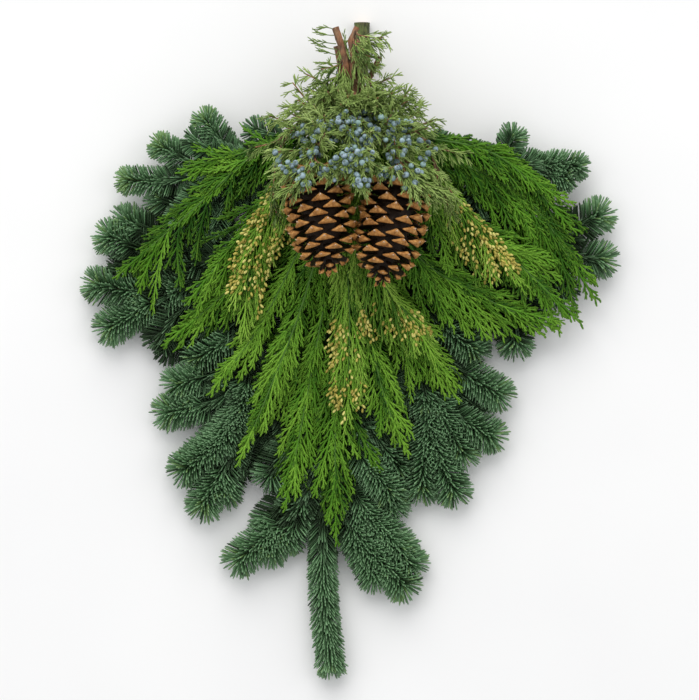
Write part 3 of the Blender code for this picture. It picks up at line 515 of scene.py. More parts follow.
def rings_between(rings, sides, foot=False):
    """The faces of a body of rings with a tip after the last ring, and a foot before the first if asked."""
    faces = []
    for j in range(rings - 1):
        for k in range(sides):
            a, b = j * sides + k, j * sides + (k + 1) % sides
            faces.append((a, b, b + sides, a + sides))
    last = (rings - 1) * sides
    faces += [(last + k, last + (k + 1) % sides, rings * sides, -1) for k in range(sides)]
    if foot:
        faces += [((k + 1) % sides, k, rings * sides + 1, -1) for k in range(sides)]
    return np.array(faces)


class Bag:
    """The faces of one piece, gathered part by part."""

    def __init__(self):
        self.points, self.tones, self.faces, self.kinds = [], [], [], []
        self.count = 0

    def add(self, points, tones, faces, kind):
        """Faces are rows of four corners, and a triangle's fourth is -1."""
        self.points.append(points.reshape(-1, 3))
        self.tones.append(tones.reshape(-1, 3))
        self.faces.append(np.where(faces < 0, -1, faces + self.count))
        self.kinds.append(np.full(len(faces), kind))
        self.count += len(self.points[-1])

    def add_rings(self, points, kind, draw, shares, rounds, foot=False):
        """Bodies of rings with a tip, and a foot if asked: their draws, and their tones along and round."""
        rings, sides = len(shares), len(rounds)
        body = rings * sides
        tones = np.zeros(points.shape)
        tones[..., 0] = draw[:, None]
        tones[:, :body, 1] = np.repeat(shares, sides)
        tones[:, body, 1] = 1
        tones[:, :body, 2] = np.tile(rounds, rings)
        faces = rings_between(rings, sides, foot)[None]
        step = np.arange(len(points))[:, None, None] * points.shape[1]
        self.add(points, tones, np.where(faces < 0, -1, faces + step).reshape(-1, 4), kind)


# Strands are lists of five arrays: their roots, spans, bends, upper sides and draws. At the share t of
# its length a strand is at root + span t + bend t².


def along(strands, t):
    """Where the strands are at these shares, and which way they run there."""
    root, span, bend = (a[:, None] for a in strands[:3])
    return root + span * t + bend * t**2, unit(span + 2 * bend * t)


def chosen(strands, wanted):
    return [a[wanted] for a in strands]


def joined(groups):
    return [np.concatenate(same) for same in zip(*groups)]


def size_of(strands):
    return np.linalg.norm(strands[1] + strands[2], axis=1)


def ends_of(strands):
    return strands[0] + strands[1] + strands[2]


def offshoots(parents, shares, lengths, chance, angle, forward, first=1, pull=0.0, lift=0.0):
    """Strands that leave the parent strands at these shares, to one side and the other in turn.

    They start at the angle, in degrees, and bend forward along the parent over this share of their length.
    """
    spot, head = along(parents, np.asarray(shares)[None, :, None])
    side, above = sideways(head, parents[3][:, None])
    shape = head.shape[:2]
    out = side * (first - 2 * first * (np.arange(shape[1]) % 2))[None, :, None]
    angle = np.radians(angle + chance.normal(0, 4, shape))[..., None]
    way = head * np.cos(angle) + out * np.sin(angle) + above * chance.normal(lift, 0.10, shape)[..., None]
    way = unit(way + DOWN * pull)
    lengths = (lengths * chance.uniform(0.78, 1.15, shape))[..., None]
    upper = unit(above + chance.normal(0, 0.25, above.shape))
    strands = [spot, way * lengths * (1 - forward), (head + DOWN * pull) * lengths * forward, upper]
    draw = (parents[4][:, None] + chance.normal(0, 0.07, shape)).ravel()
    return [*(a.reshape(-1, 3) for a in strands), draw]


def blades(bag, kind, strands, cross, shape, sides=3):
    """Pointed blades along the strands, with this width and thickness."""
    root, span, bend, up, draw = strands
    if not len(root):
        return
    t, scale = (np.array(column)[None, :, None] for column in zip(*shape))
    centre, head = along(strands, t)
    side, rise = sideways(head, up[:, None])
    turn = 2 * math.pi * np.arange(sides) / sides + math.pi / 2
    across = side[:, :, None] * np.cos(turn)[:, None] * (cross[0] / 2)
    ring = across + rise[:, :, None] * np.sin(turn)[:, None] * (cross[1] / 2)
    points = (centre[:, :, None] + ring * scale[..., None]).reshape(len(root), -1, 3)
    points = np.concatenate([points, (root + span + bend)[:, None]], axis=1)
    bag.add_rings(points, kind, draw, t.ravel(), np.arange(sides) / sides)


def tube(bag, kind, route, radii, sides=8, draw=0.5, rough=0.0, cap_kind=None, tone_along=1.0):
    """A round stem along the route, closed at both ends, with an uneven skin if it is rough."""
    lengths = lengths_on(route)
    side, rise = sideways(unit(np.gradient(route, lengths, axis=0)))
    turn = 2 * math.pi * np.arange(sides) / sides
    radii = np.broadcast_to(radii, len(route)).astype(float)
    grain = np.random.default_rng(len(route)).normal(0, rough, (len(route), sides)) if rough else 0
    ring = side[:, None] * np.cos(turn)[:, None] + rise[:, None] * np.sin(turn)[:, None]
    points = route[:, None] + ring * (radii[:, None] * (1 + grain))[..., None]
    points = np.concatenate([points.reshape(-1, 3), route[-1:], route[:1]])
    tones = np.full(points.shape, draw)
    tones[:, 1] *= tone_along
    tones[:-2, 1] = tone_along * np.repeat(lengths / max(lengths[-1], 1e-6), sides)
    tones[:-2, 2] = np.tile(np.arange(sides) / sides, len(route))
    faces = rings_between(len(route), sides, True)
    if cap_kind is None:
        bag.add(points, tones, faces, kind)
    else:
        bag.add(points, tones, faces[:-sides], kind)
        cap = np.concatenate([points[:sides], points[-1:]])
        rim = np.full(cap.shape, draw)
        rim[:, 1] = [1.0] * sides + [0.0]
        bag.add(cap, rim, np.array([((k + 1) % sides, k, sides, -1) for k in range(sides)]), cap_kind)


def beads(bag, kind, centre, way, half_long, radius, segments, rings):
    """Round or long beads, such as berries and pollen cones."""
    count = len(centre)
    if not count:
        return
    side, rise = sideways(way, np.where(np.abs(way[:, 2:]) > 0.9, [[1.0, 0, 0]], [[0, 0, 1.0]]))
    level = math.pi * (np.arange(rings) + 1) / (rings + 1)
    turn = 2 * math.pi * np.arange(segments) / segments
    out = side[:, None, None] * np.cos(turn)[:, None] + rise[:, None, None] * np.sin(turn)[:, None]
    radius = np.broadcast_to(radius, count)[:, None, None, None]
    reach = way * half_long[:, None]
    points = centre[:, None, None] + out * radius * np.sin(level)[:, None, None]
    points = points - reach[:, None, None] * np.cos(level)[:, None, None]
    points = points.reshape(count, -1, 3)
    points = np.concatenate([points, (centre + reach)[:, None], (centre - reach)[:, None]], axis=1)
    draw = np.random.default_rng(count).random(count)
    bag.add_rings(points, kind, draw, (1 - np.cos(level)) / 2, np.arange(segments) / segments, True)


def put_in_scene(name, data, place=(0, 0, 0)):
    made = bpy.data.objects.new(name, data)
    made.location = place
    bpy.context.scene.collection.objects.link(made)
    return made


def build(name, bag, node, materials):
    """Makes the piece's mesh, and puts it in place of its node."""
    points = np.concatenate(bag.points)
    points[:, 2] = np.maximum(points[:, 2], LOWEST)
    points = (points - CENTRE) * MM
    faces = np.concatenate(bag.faces)
    totals = np.where(faces[:, 3] < 0, 3, 4)
    corners = faces[faces >= 0]
    mesh = bpy.data.meshes.new(name)
    mesh.vertices.add(len(points))
    mesh.vertices.foreach_set("co", points.ravel())
    mesh.loops.add(len(corners))
    mesh.loops.foreach_set("vertex_index", corners)
    mesh.polygons.add(len(faces))
    mesh.polygons.foreach_set("loop_start", np.cumsum(totals) - totals)
    mesh.polygons.foreach_set("loop_total", totals)
    for paint in materials:
        mesh.materials.append(paint)
    mesh.polygons.foreach_set("material_index", np.concatenate(bag.kinds))
    mesh.polygons.foreach_set("use_smooth", np.ones(len(faces), bool))
    tones = mesh.attributes.new("tone", "FLOAT_VECTOR", "POINT")
    tones.data.foreach_set("vector", np.concatenate(bag.tones).ravel())
    mesh.update(calc_edges=True)
    mesh.validate()
    piece = put_in_scene(name, mesh)
    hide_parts(node)
    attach(piece, "root")


# Fir


def cedar_over(places):
    """How far these places lie under the cedar fronds, from 0 to 1."""
    away = np.linalg.norm(places[:, None, :2] - CEDAR_PLACES[None, :, :2], axis=2).min(axis=1)
    return np.clip((CEDAR_COVERS - away) / CEDAR_COVER_EDGE, 0, 1)


def add_needles(bag, route, chance, needle, young, painted_cover_shade, first=0.0, spread=FIR_BROAD):
    """Rows of needles along a twig, at the spread's angle from it, and an even cap of them round its end.

    Those under the cedar lie flatter and darker, with painted shade, and the top ones lie along the twig.
    """
    total = lengths_on(route)[-1]
    each = int(total * (1 - first) / FIR_STEP)
    row, spot = (a.ravel() for a in np.meshgrid(np.arange(len(FIR_ROWS)), np.arange(each), indexing="ij"))
    shares = first + (1 - first) * (spot + 0.5 * (row % 2) + chance.uniform(0, 0.25, len(row))) / each
    turn = np.radians(np.array(FIR_ROWS)[row] + chance.normal(0, 4, len(row)))
    cap = np.arange(FIR_END_NEEDLES)
    shares = np.concatenate([shares, np.full(len(cap), 0.985)])
    turn = np.concatenate([turn, GOLDEN * cap])
    sweep = np.concatenate([np.full(len(row), spread), spread * np.sqrt((cap + 0.5) / len(cap))])
    keep = chance.random(len(shares)) > 0.25 * cedar_over(spots_on(route, np.clip(shares, 0, 1))[0])
    shares, turn, sweep = np.clip(shares[keep], 0, 1), turn[keep], sweep[keep]
    count = len(shares)
    place, way = spots_on(route, shares)
    covered = cedar_over(place)
    side, above = sideways(way)
    across, lift = np.sin(turn), np.cos(turn)
    over = (lift > 0.85) & (covered > 0.3)
    low = lift < -0.25
    rise = lift * np.clip(0.45 + shares * 2.2, 0, 1) * (1 - 0.9 * covered)
    lift = np.where(low, -0.28 + 0.2 * lift, rise)
    flat = (low | (covered > 0.3)) & ~over
    across = np.where(flat, np.sign(across) * np.maximum(np.abs(across), 0.8), across)
    lift, sweep = np.where(over, 0.6, lift), np.where(over, 22, sweep)
    out = unit(side * across[:, None] + above * lift[:, None])
    sweep = np.radians(sweep + chance.normal(0, 2, count))[:, None]
    size = needle * chance.uniform(0.94, 1.04, count) * (1 - 0.2 * np.clip(lift, 0, 1))
    size = (size * (1 - 0.3 * np.clip(1 - shares * total / 25, 0, 1)))[:, None]
    start = unit(way * np.cos(sweep) + out * np.sin(sweep))
    curl = (way * 0.05 + above * 0.05 + chance.normal(0, 0.012, (count, 3))) * size
    face = unit(above * 0.8 + out * 0.25 + chance.normal(0, 0.12, (count, 3)))
    # painted shade: the needles under the cedar are drawn darker
    draw = np.clip(0.53 + chance.normal(0, 0.2, count) - painted_cover_shade * covered, 0, 1)
    draw += 0.9 * (chance.random(count) < young * smooth(1 - (1 - shares) * total / 14) * (covered < 0.1))
    strands = [place + out * FIR_TWIG_R * 0.5, start * size * 0.93, curl, face, draw]
    blades(bag, LEAVES, strands, FIR_NEEDLE_CROSS, FIR_NEEDLE_SHAPE)


def add_fir_twig(bag, line, chance, look, first=0.0, shorter=0, spread=FIR_BROAD):
    """A twig along the line with needles that reach its end, bare up to the share first.

    The look is the needles' length, the share of young ones and how much painted shade darkens the covered
    ones.
    """
    line = cut_back(line, look[0] - FIR_PAST + shorter)
    tube(bag, BARK, evenly(line, TWIG_STEP), FIR_TWIG_R, 6, chance.random(), 0.03)
    add_needles(bag, line, chance, *look, first, spread)


def make_fir():
    for name, bough in FIR_BOUGHS.items():
        bag = Bag()
        chance = chance_for(name)
        upper = "upper" in name
        ends = bough.get("ends", [])
        route = evenly(stem_places(bough["seat"], bough["stem"], ends), STEM_STEP)
        radii = np.interp(lengths_on(route) / lengths_on(route)[-1], [0, 1], bough["radius"])
        if ends:
            past = np.clip((route[:, 1] - FIR_CUT_FROM) / FIR_CUT_WIDENS, 0, 1)
            radii = radii * (1 - past) + FIR_CUT_R * past
        tube(bag, BARK, route, radii, 14 if ends else 9, rough=0.03, cap_kind=2)
        needle = FIR_NEEDLE * (FIR_UPPER_NEEDLE if upper else 1)
        young = 0.7 if "upper_left" in name else 0.2
        # the last of the look is how much painted shade darkens the needles under the cedar
        look = (needle, young, 0.25 if upper else 0.65)
        for share, *end in bough["twigs"]:
            add_fir_twig(bag, side_route(route, share, end), chance, look)
        for share, *end in bough["fillers"]:
            add_fir_twig(bag, side_route(route, share, end), chance, look, FIR_FILLER_BARE)
        narrow = {"shorter": 9, "spread": FIR_NARROW} if ends else {}
        add_fir_twig(bag, side_route(route, 0.97, bough["leader"]), chance, look, **narrow)
        add_needles(bag, route, chance, *look, FIR_UPPER_BARE if upper else FIR_BARE)
        build(name + "_foliage", bag, name, [paint_fir, paint_fir_bark, paint_cut_wood])


# Cedar


def frond_height(x, y, layer):
    """How high a frond's rib runs over this place: its row in the tie, then its layer over the fir."""
    reach = math.hypot(x, y - TIE_Y)
    row = CEDAR_ROW_Z + CEDAR_ROW_STEP * layer
    shell = CEDAR_SHELL_Z + CEDAR_LAYER * layer
    return row + (shell - row) * float(smooth((reach - 15) / 60)) - CEDAR_DROOP * min(reach / 350, 1) ** 2


def rib_places(seat_x, places):
    """The rib's own places (x, y), after one that leads it out of the tie."""
    first_x, first_y = places[0]
    near = (seat_x + (first_x - seat_x) * 0.36, TIE_Y - STRAIGHT + (first_y - TIE_Y + STRAIGHT) * 0.42)
    return [near, *places]


def rib_route(layer, seat_x, places):
    stem = [(x, y, frond_height(x, y, layer)) for x, y in rib_places(seat_x, places)]
    return evenly(stem_places((seat_x, CEDAR_ROW_Z + CEDAR_ROW_STEP * layer), stem), STEM_STEP)


def on_swag(pixels):
    """The places (x, y) that pixels of the photograph show."""
    return (pixels - np.array(ORIGIN_PIXEL)) * (PIXEL, -PIXEL)


def traced_sprays(seat_x, places, traced):
    """Each spray's share of the rib, to a hundredth, and its end (x, y), to a millimetre."""
    line = curve_through([(seat_x, TIE_Y + STUB), (seat_x, TIE_Y - STRAIGHT), *rib_places(seat_x, places)])
    starts, ends = on_swag(np.array(traced).reshape(-1, 2, 2)).swapaxes(0, 1)
    nearest = np.linalg.norm(line[:, None] - starts, axis=2).argmin(axis=0)
    shares = (lengths_on(line) / lengths_on(line)[-1])[nearest] - CEDAR_EARLIER[seat_x > 5]
    return np.column_stack([np.maximum(shares, CEDAR_SPRAYS_FROM).round(2), (ends / CEDAR_NEARER).round()])


def sprays_on(route, chance, first, last, every, long, short, spread, hang):
    """Side sprays along a rib, longer on the side that hangs and shorter towards its end."""
    total = lengths_on(route)[-1]
    count = int(total * (last - first) / every)
    shares = first + (last - first) * (np.arange(count) + 0.6 * chance.random(count)) / count
    place, way = spots_on(route, shares)
    side = sideways(way)[0] * np.where(np.arange(count) % 2, 1.0, -1.0)[:, None]
    hanging = (side @ DOWN)[:, None]
    head = unit(way * 0.85 + side * spread + DOWN * hang + UP * chance.normal(0.0, 0.10, count)[:, None])
    size = short + (long - short) * smooth(0.5 + 0.6 * hanging)
    size = size * chance.uniform(0.85, 1.15, count)[:, None]
    size = np.minimum(size, (1 - shares[:, None]) * total * 0.8 + 20)
    above = unit(UP + side * 0.2 + chance.normal(0, 0.4, (count, 3)))
    bend = (way * 0.12 + DOWN * hang * 0.5 - UP * 0.06) * size
    return [place, head * size * 0.85, bend, above, chance.random(count)]


def listed_sprays(route, chance, layer, listed):
    """Sprays whose ends are known: each leaves along the rib, then bends over to its end."""
    shares, end_x, end_y = listed.T
    place, way = spots_on(route, shares)
    end_z = [frond_height(x, y, layer) for x, y in zip(end_x, end_y)] + chance.uniform(-9, 3, len(listed))
    reach = np.stack([end_x, end_y, end_z], axis=1) - place
    span = reach * 0.72 + way * np.linalg.norm(reach, axis=1)[:, None] * 0.28
    above = unit(UP + chance.normal(0, 0.3, (len(listed), 3)))
    return [place, span, reach - span, above, chance.uniform(0.2, 1, len(listed))]


def end_spray(route, end):
    """The spray that carries on from a rib that was cut back, to its end."""
    place, way = (a[0] for a in spots_on(route, [0.99]))
    span = (end - place) * 0.75 + way * np.linalg.norm(end - place) * 0.25
    return [np.array([a]) for a in (place, span, end - place - span, UP, 0.6)]


def as_strands(route, step, chance):
    """The rib as short strands, end to end."""
    places = evenly(route, step)
    span = np.diff(places, axis=0)
    draw = np.full(len(span), chance.random())
    return [places[:-1], span, span * 0, np.broadcast_to(UP, span.shape), draw]


def add_fingers(bag, sprays, total, chance, angle, longest, base):
    """Leafy fingers to both sides of each spray, total of them, with short ones on the longer."""
    shares = (np.arange(total) + 0.6) / total
    lengths = np.minimum(size_of(sprays)[:, None] * 0.46 * (1 - shares) ** 0.8 + base, longest)
    lengths = lengths * chance.uniform(0.6, 1.15, lengths.shape)
    fingers = offshoots(sprays, shares, lengths, chance, angle - 6 * shares, 0.25, first=-1, pull=0.03)
    blades(bag, LEAVES, fingers, CEDAR_FINGER_CROSS, LEAF)
    fingers = chosen(fingers, size_of(fingers) > 10)
    shares = np.array([0.30, 0.52, 0.74])
    lengths = size_of(fingers)[:, None] * (0.40 - 0.30 * shares)[None, :] + 2
    small = offshoots(fingers, shares, lengths, chance, angle - 4, 0.25)
    blades(bag, LEAVES, small, CEDAR_LEAF_CROSS, SHORT_LEAF)


def cedar_sprays(name, chance, route, rib):
    """A frond's sprays: at its sides near the tie and under it, both lower and darker with painted shade,
    the traced ones and its end.
    """
    layer, seat_x, tone, places, traced = CEDAR_FRONDS[name]
    (first_x, first_y), (last_x, last_y) = places[0], places[-1]
    outward = abs(last_x - first_x) / math.hypot(last_x - first_x, last_y - first_y)
    short = CEDAR_UPWARD_ON.get(name, CEDAR_UPWARD)
    sides = sprays_on(rib, chance, 0.14, CEDAR_SIDES_UNTIL, every=8, long=58, short=short,
                      spread=0.34 + 0.2 * outward, hang=0.2)
    # the side sprays lie lower, and their draws are darker as painted shade
    sides[0] = sides[0] - UP * 4
    sides[4] = sides[4] * 0.6
    under = sprays_on(rib, chance, 0.35, 0.35 if name in CEDAR_OPEN else 0.85, every=13, long=52,
                      short=short + 4, spread=0.62, hang=0.2)
    # the sprays under the frond lie lower, and their draws are darker as painted shade
    under[0] = under[0] - UP * 7
    under[4] = under[4] * 0.5 - 0.15
    listed = listed_sprays(route, chance, layer, traced_sprays(seat_x, places, traced))
    sprays = joined([sides, under, listed, end_spray(rib, route[-1])])
    # painted light and shade: each frond is drawn lighter or darker as a whole
    sprays[4] = sprays[4] + tone
    return sprays


def add_cedar_leaves(bag, name, chance, route, rib):
    """Each spray as a flat plate, its rib with fingers at an even step, and fingers on the frond's rib."""
    sprays = cedar_sprays(name, chance, route, rib)
    blades(bag, LEAVES, sprays, CEDAR_SPRAY_CROSS, LONG_STRAND, 4)
    totals = np.clip(np.round(size_of(sprays) / CEDAR_FINGER_STEP / 2) * 2, 4, 22).astype(int)
    for total in np.unique(totals):
        add_fingers(bag, chosen(sprays, totals == total), total, chance, angle=31, longest=28, base=5)
    strands = [a[2:] for a in as_strands(rib, 40, chance)]
    add_fingers(bag, strands, 14, chance, angle=34, longest=15, base=7)


def pollen_near(places):
    """How thick the pollen cones hang here, from 0 to 1."""
    found = np.zeros(len(places))
    for middle, half in POLLEN_PATCHES:
        away = (((places[:, :2] - middle) / half) ** 2).sum(axis=1)
        found = np.maximum(found, np.clip(1.1 - away, 0, 1) ** 0.6)
    return found


def add_pollen_leaves(bag, chance, route, rib):
    """Long drooping sprays with thin fingers, whose tips carry pollen cones in the patches."""
    sides = sprays_on(rib, chance, 0.12, 0.98, every=5.5, long=66, short=44, spread=0.40, hang=0.28)
    sprays = joined([sides, end_spray(rib, route[-1])])
    blades(bag, LEAVES, sprays, POLLEN_SPRAY_CROSS, LONG_STRAND, 4)
    shares = np.linspace(0.1, 0.92, 8)
    lengths = np.minimum(30 - 14 * shares, size_of(sprays)[:, None] * 0.6)
    fingers = offshoots(sprays, shares, lengths, chance, angle=21, forward=0.3, first=-1, pull=0.1)
    blades(bag, LEAVES, fingers, POLLEN_FINGER_CROSS, LEAF)
    small = offshoots(fingers, [0.45, 0.7], 6.5, chance, angle=26, forward=0.15)
    blades(bag, LEAVES, small, POLLEN_LEAF_CROSS, SHORT_LEAF)
    carry = chance.random(len(fingers[0])) < POLLEN_SHARE * pollen_near(ends_of(fingers))
    carriers = chosen(fingers, carry)
    tips = offshoots(carriers, [0.62, 0.82, 0.99], 3.2, chance, angle=30, forward=0.1, lift=0.25)
    heads = unit(tips[1] + 2 * tips[2])
    half_long = chance.uniform(*POLLEN_HALF_LENGTH, len(heads))
    beads(bag, FRUIT, ends_of(tips) + UP * 1.5, heads, half_long, POLLEN_R, segments=6, rings=4)


def make_cedar():
    for name, (layer, seat_x, _, places, traced) in CEDAR_FRONDS.items():
        bag = Bag()
        chance = chance_for(name)
        route = rib_route(layer, seat_x, places)
        rib = cut_back(route, CEDAR_SHORTER)
        tube(bag, BARK, rib, np.linspace(CEDAR_R, CEDAR_RIB_END_R, len(rib)), 6, chance.random(), 0.06)
        if traced:
            add_cedar_leaves(bag, name, chance, route, rib)
            build(name + "_foliage", bag, name, [paint_cedar, paint_cedar_rib])
        else:
            add_pollen_leaves(bag, chance, route, rib)
            build(name + "_foliage", bag, name, [paint_strand, paint_cedar_rib, paint_pollen])


# Juniper


def add_wisp(bag, chance, wisp):
    """A thin shoot through three places, with small leaves to both sides."""
    start, middle, end = (np.array([p], float) for p in wisp)
    bend = 2 * (start - 2 * middle + end)
    stalk = [start, end - start - bend, bend, np.array([UP]), np.array([0.4])]
    blades(bag, LEAVES, stalk, WISP_CROSS, LONG_STRAND)
    leaves = offshoots(stalk, np.linspace(0.4, 0.97, 7), 7, chance, angle=19, forward=0.2)
    blades(bag, LEAVES, leaves, WISP_LEAF_CROSS, LEAF)


def twigs_between(twigs, chance):
    """More twigs, which end between those of neighbours and of next neighbours."""
    found = []
    for gap in (1, 2):
        for (share_a, a), (share_b, b) in zip(twigs, twigs[gap:]):
            middle = (a + b) / 2 + chance.uniform([-10, -9, -5], [10, 9, 5])
            if middle[1] < BETWEEN_BELOW:
                found.append((min((share_a + share_b) / 2 + 0.04, 0.97), middle))
    return found


def add_juniper_twig(bag, chance, line, thin):
    """A twig with sprigs all round it. Returns the stalks of its berries."""
    twig = evenly(line, TWIG_STEP)
    tube(bag, BARK, twig, np.linspace(*JUNIPER_TWIG_R, len(twig)), 5, chance.random(), 0.04)
    count = int(lengths_on(line)[-1] / (THIN_STEP if thin else SPRIG_STEP))
    shares = 0.12 + 0.87 * (np.arange(count) + chance.random(count)) / count
    place, way = spots_on(line, shares)
    side, above = sideways(way)
    turn = GOLDEN * np.arange(count) + chance.random() * 6
    out = unit(side * np.cos(turn)[:, None] + above * (np.sin(turn) * 0.8 + 0.25)[:, None])
    size = chance.uniform(*JUNIPER_SPRIG, (count, 1)) * (1 - 0.25 * shares[:, None]) * (0.75 if thin else 1)
    head = unit(way * 0.8 + out * 0.7 + DOWN * 0.35)
    bend = (way * 0.10 + DOWN * 0.25 + chance.normal(0, 0.10, (count, 3))) * size
    draw = np.clip(chance.random() * 0.5 + chance.random(count) * 0.5, 0, 1)
    sprigs = [place, head * size * 0.85, bend, unit(out + chance.normal(0, 0.4, (count, 3))), draw]
    if not thin:
        sprigs = chosen(sprigs, ends_of(sprigs)[:, 1] < STEMS_SHOW_FROM)
    blades(bag, LEAVES, sprigs, JUNIPER_SPRIG_CROSS, LONG_STRAND[::2])
    shares = np.linspace(0.18, 0.88, 5)
    small = offshoots(sprigs, shares, 13 - 6 * shares, chance, angle=26, forward=0.3, first=-1)
    blades(bag, LEAVES, small, JUNIPER_LEAF_CROSS, SHORT_LEAF)
    stalks = offshoots(sprigs, [0.55], 4.0, chance, angle=60, forward=0.1, lift=0.6)
    near = (((ends_of(stalks)[:, :2] - BERRY_MIDDLE) / BERRY_HALF) ** 2).sum(axis=1) < 1
    return chosen(stalks, near & (chance.random(len(near)) < BERRY_SHARE))


def make_juniper():
    for name, branch in JUNIPER_BRANCHES.items():
        bag = Bag()
        chance = chance_for(name)
        far = "far" in name
        route = evenly(stem_places(branch["seat"], branch["stem"], branch.get("ends", [])), STEM_STEP)
        tube(bag, BARK, route, np.linspace(*branch["radius"], len(route)), 9, 0.4, 0.05, cap_kind=3)
        for stub in branch.get("stubs", []):
            line = evenly(curve_through(stub), STEM_STEP)
            tube(bag, BARK, line, np.linspace(*STUB_R, len(line)), 8, chance.random(), 0.08, cap_kind=3)
        for wisp in branch.get("wisps", []):
            add_wisp(bag, chance, wisp)
        listed = branch["twigs"] + branch.get("fillers", [])
        twigs = [(share, np.array(end, float)) for share, *end in listed]
        if not far:
            twigs += twigs_between(twigs, chance)
        lines = [(side_route(route, share, end), far or end[1] > THIN_FROM) for share, end in twigs]
        berries = joined([add_juniper_twig(bag, chance, *line) for line in lines])
        blades(bag, BARK, berries, BERRY_STALK_CROSS, SHORT_LEAF)
        radii = chance.uniform(*BERRY_R, len(berries[0]))
        middles = ends_of(berries) + UP * 2.5
        beads(bag, FRUIT, middles, unit(berries[1]), radii * 0.97, radii, segments=10, rings=6)
        paints = [paint_juniper, paint_juniper_bark, paint_berry, paint_cut_wood]
        build(name + "_foliage", bag, name, paints)


# Pine cones


def cone_profile(share):
    """The cone's outline, base to tip, as a share of its greatest radius."""
    away = (share - CONE_WIDEST_AT) / 0.64
    return np.where(away < 0, np.cbrt(1 - np.abs(away) ** 3), np.sqrt(np.maximum(1 - away**2, 0)))


def add_scales(bag, chance, base, axis, length, widest):
    """Scales in a spiral round the axis, which close over the cone's tip, each with its prickle."""
    share = 0.02 + 1.0 * (np.arange(CONE_SCALES) + 0.5) / CONE_SCALES
    turn = GOLDEN * np.arange(CONE_SCALES) + chance.random() * 6 + chance.normal(0, 0.04, CONE_SCALES)
    side, rise = sideways(axis)
    out = side * np.cos(turn)[:, None] + rise * np.sin(turn)[:, None]
    across = np.cross(axis, out)
    closing = np.clip((share - 0.84) / 0.18, 0, 1) ** 1.5
    end_radius = widest * cone_profile(share) * (1 - 0.78 * closing)
    foot = base + axis * ((0.06 + 0.78 * share) * length)[:, None]
    end = base + axis * (share * length)[:, None] + out * end_radius[:, None]
    end += axis * chance.normal(0, 1.0, CONE_SCALES)[:, None]
    reach = np.linalg.norm(end - foot, axis=1)
    way = unit(end - foot)
    above = axis * (way * out).sum(axis=1)[:, None] - out * (way @ axis)[:, None]
    wide = np.clip(2 * math.pi * end_radius / 8 * 0.88, *SCALE_WIDTHS)
    wide = wide * chance.uniform(0.92, 1.06, CONE_SCALES)
    thick = SCALE_THICK * (0.5 + 0.5 * cone_profile(share)) * (1 - 0.2 * share) * (1 - 0.35 * closing)
    rings = np.array(SCALE_RINGS)
    ring_x, ring_z = np.array(SCALE_OUTLINE).T
    x = (wide[:, None] * rings[:, 1])[..., None] / 2 * ring_x
    z = (thick[:, None] * rings[:, 2])[..., None] / 2 * ring_z + (thick[:, None] * rings[:, 3])[..., None]
    bow = -SCALE_BOW * (x / (wide[:, None, None] / 2)) ** 2
    points = foot[:, None, None] + way[:, None, None] * (reach[:, None] * rings[:, 0])[..., None, None]
    points = points + across[:, None, None] * x[..., None] + above[:, None, None] * z[..., None]
    points = points + way[:, None, None] * (bow * rings[None, :, :1])[..., None]
    prickle = foot + way * (reach * 1.09)[:, None] - above * (thick * 0.40)[:, None]
    points = np.concatenate([points.reshape(CONE_SCALES, -1, 3), prickle[:, None]], axis=1)
    bag.add_rings(points, LEAVES, chance.random(CONE_SCALES), rings[:, 0] / 1.1, (1 - ring_z) / 2)


def make_cones():
    for name, (base, tip, widest) in CONES.items():
        bag = Bag()
        chance = chance_for(name)
        base, tip = np.array(base, float), np.array(tip, float)
        length = np.linalg.norm(tip - base)
        axis = (tip - base) / length
        core = evenly(np.array([base + (tip - base) * share for share in CONE_CORE]), 6)
        share = np.linspace(*CONE_CORE, len(core))
        radii = CONE_CORE_SHARE * widest * cone_profile(share) * (1 - 0.6 * smooth((share - 0.6) / 0.3))
        # the core takes the near-black inner colour, as painted shade deep between the scales
        tube(bag, LEAVES, core, radii, 14, tone_along=0.0)
        stalk = evenly(np.array([base - axis * CONE_STALK[0], base + axis * CONE_STALK[1]]), 3)
        tube(bag, BARK, stalk, CONE_STALK_R, 10, rough=0.05)
        add_scales(bag, chance, base, axis, length, widest)
        build(name + "_scales", bag, name, [paint_cone, paint_juniper_bark])


# Materials


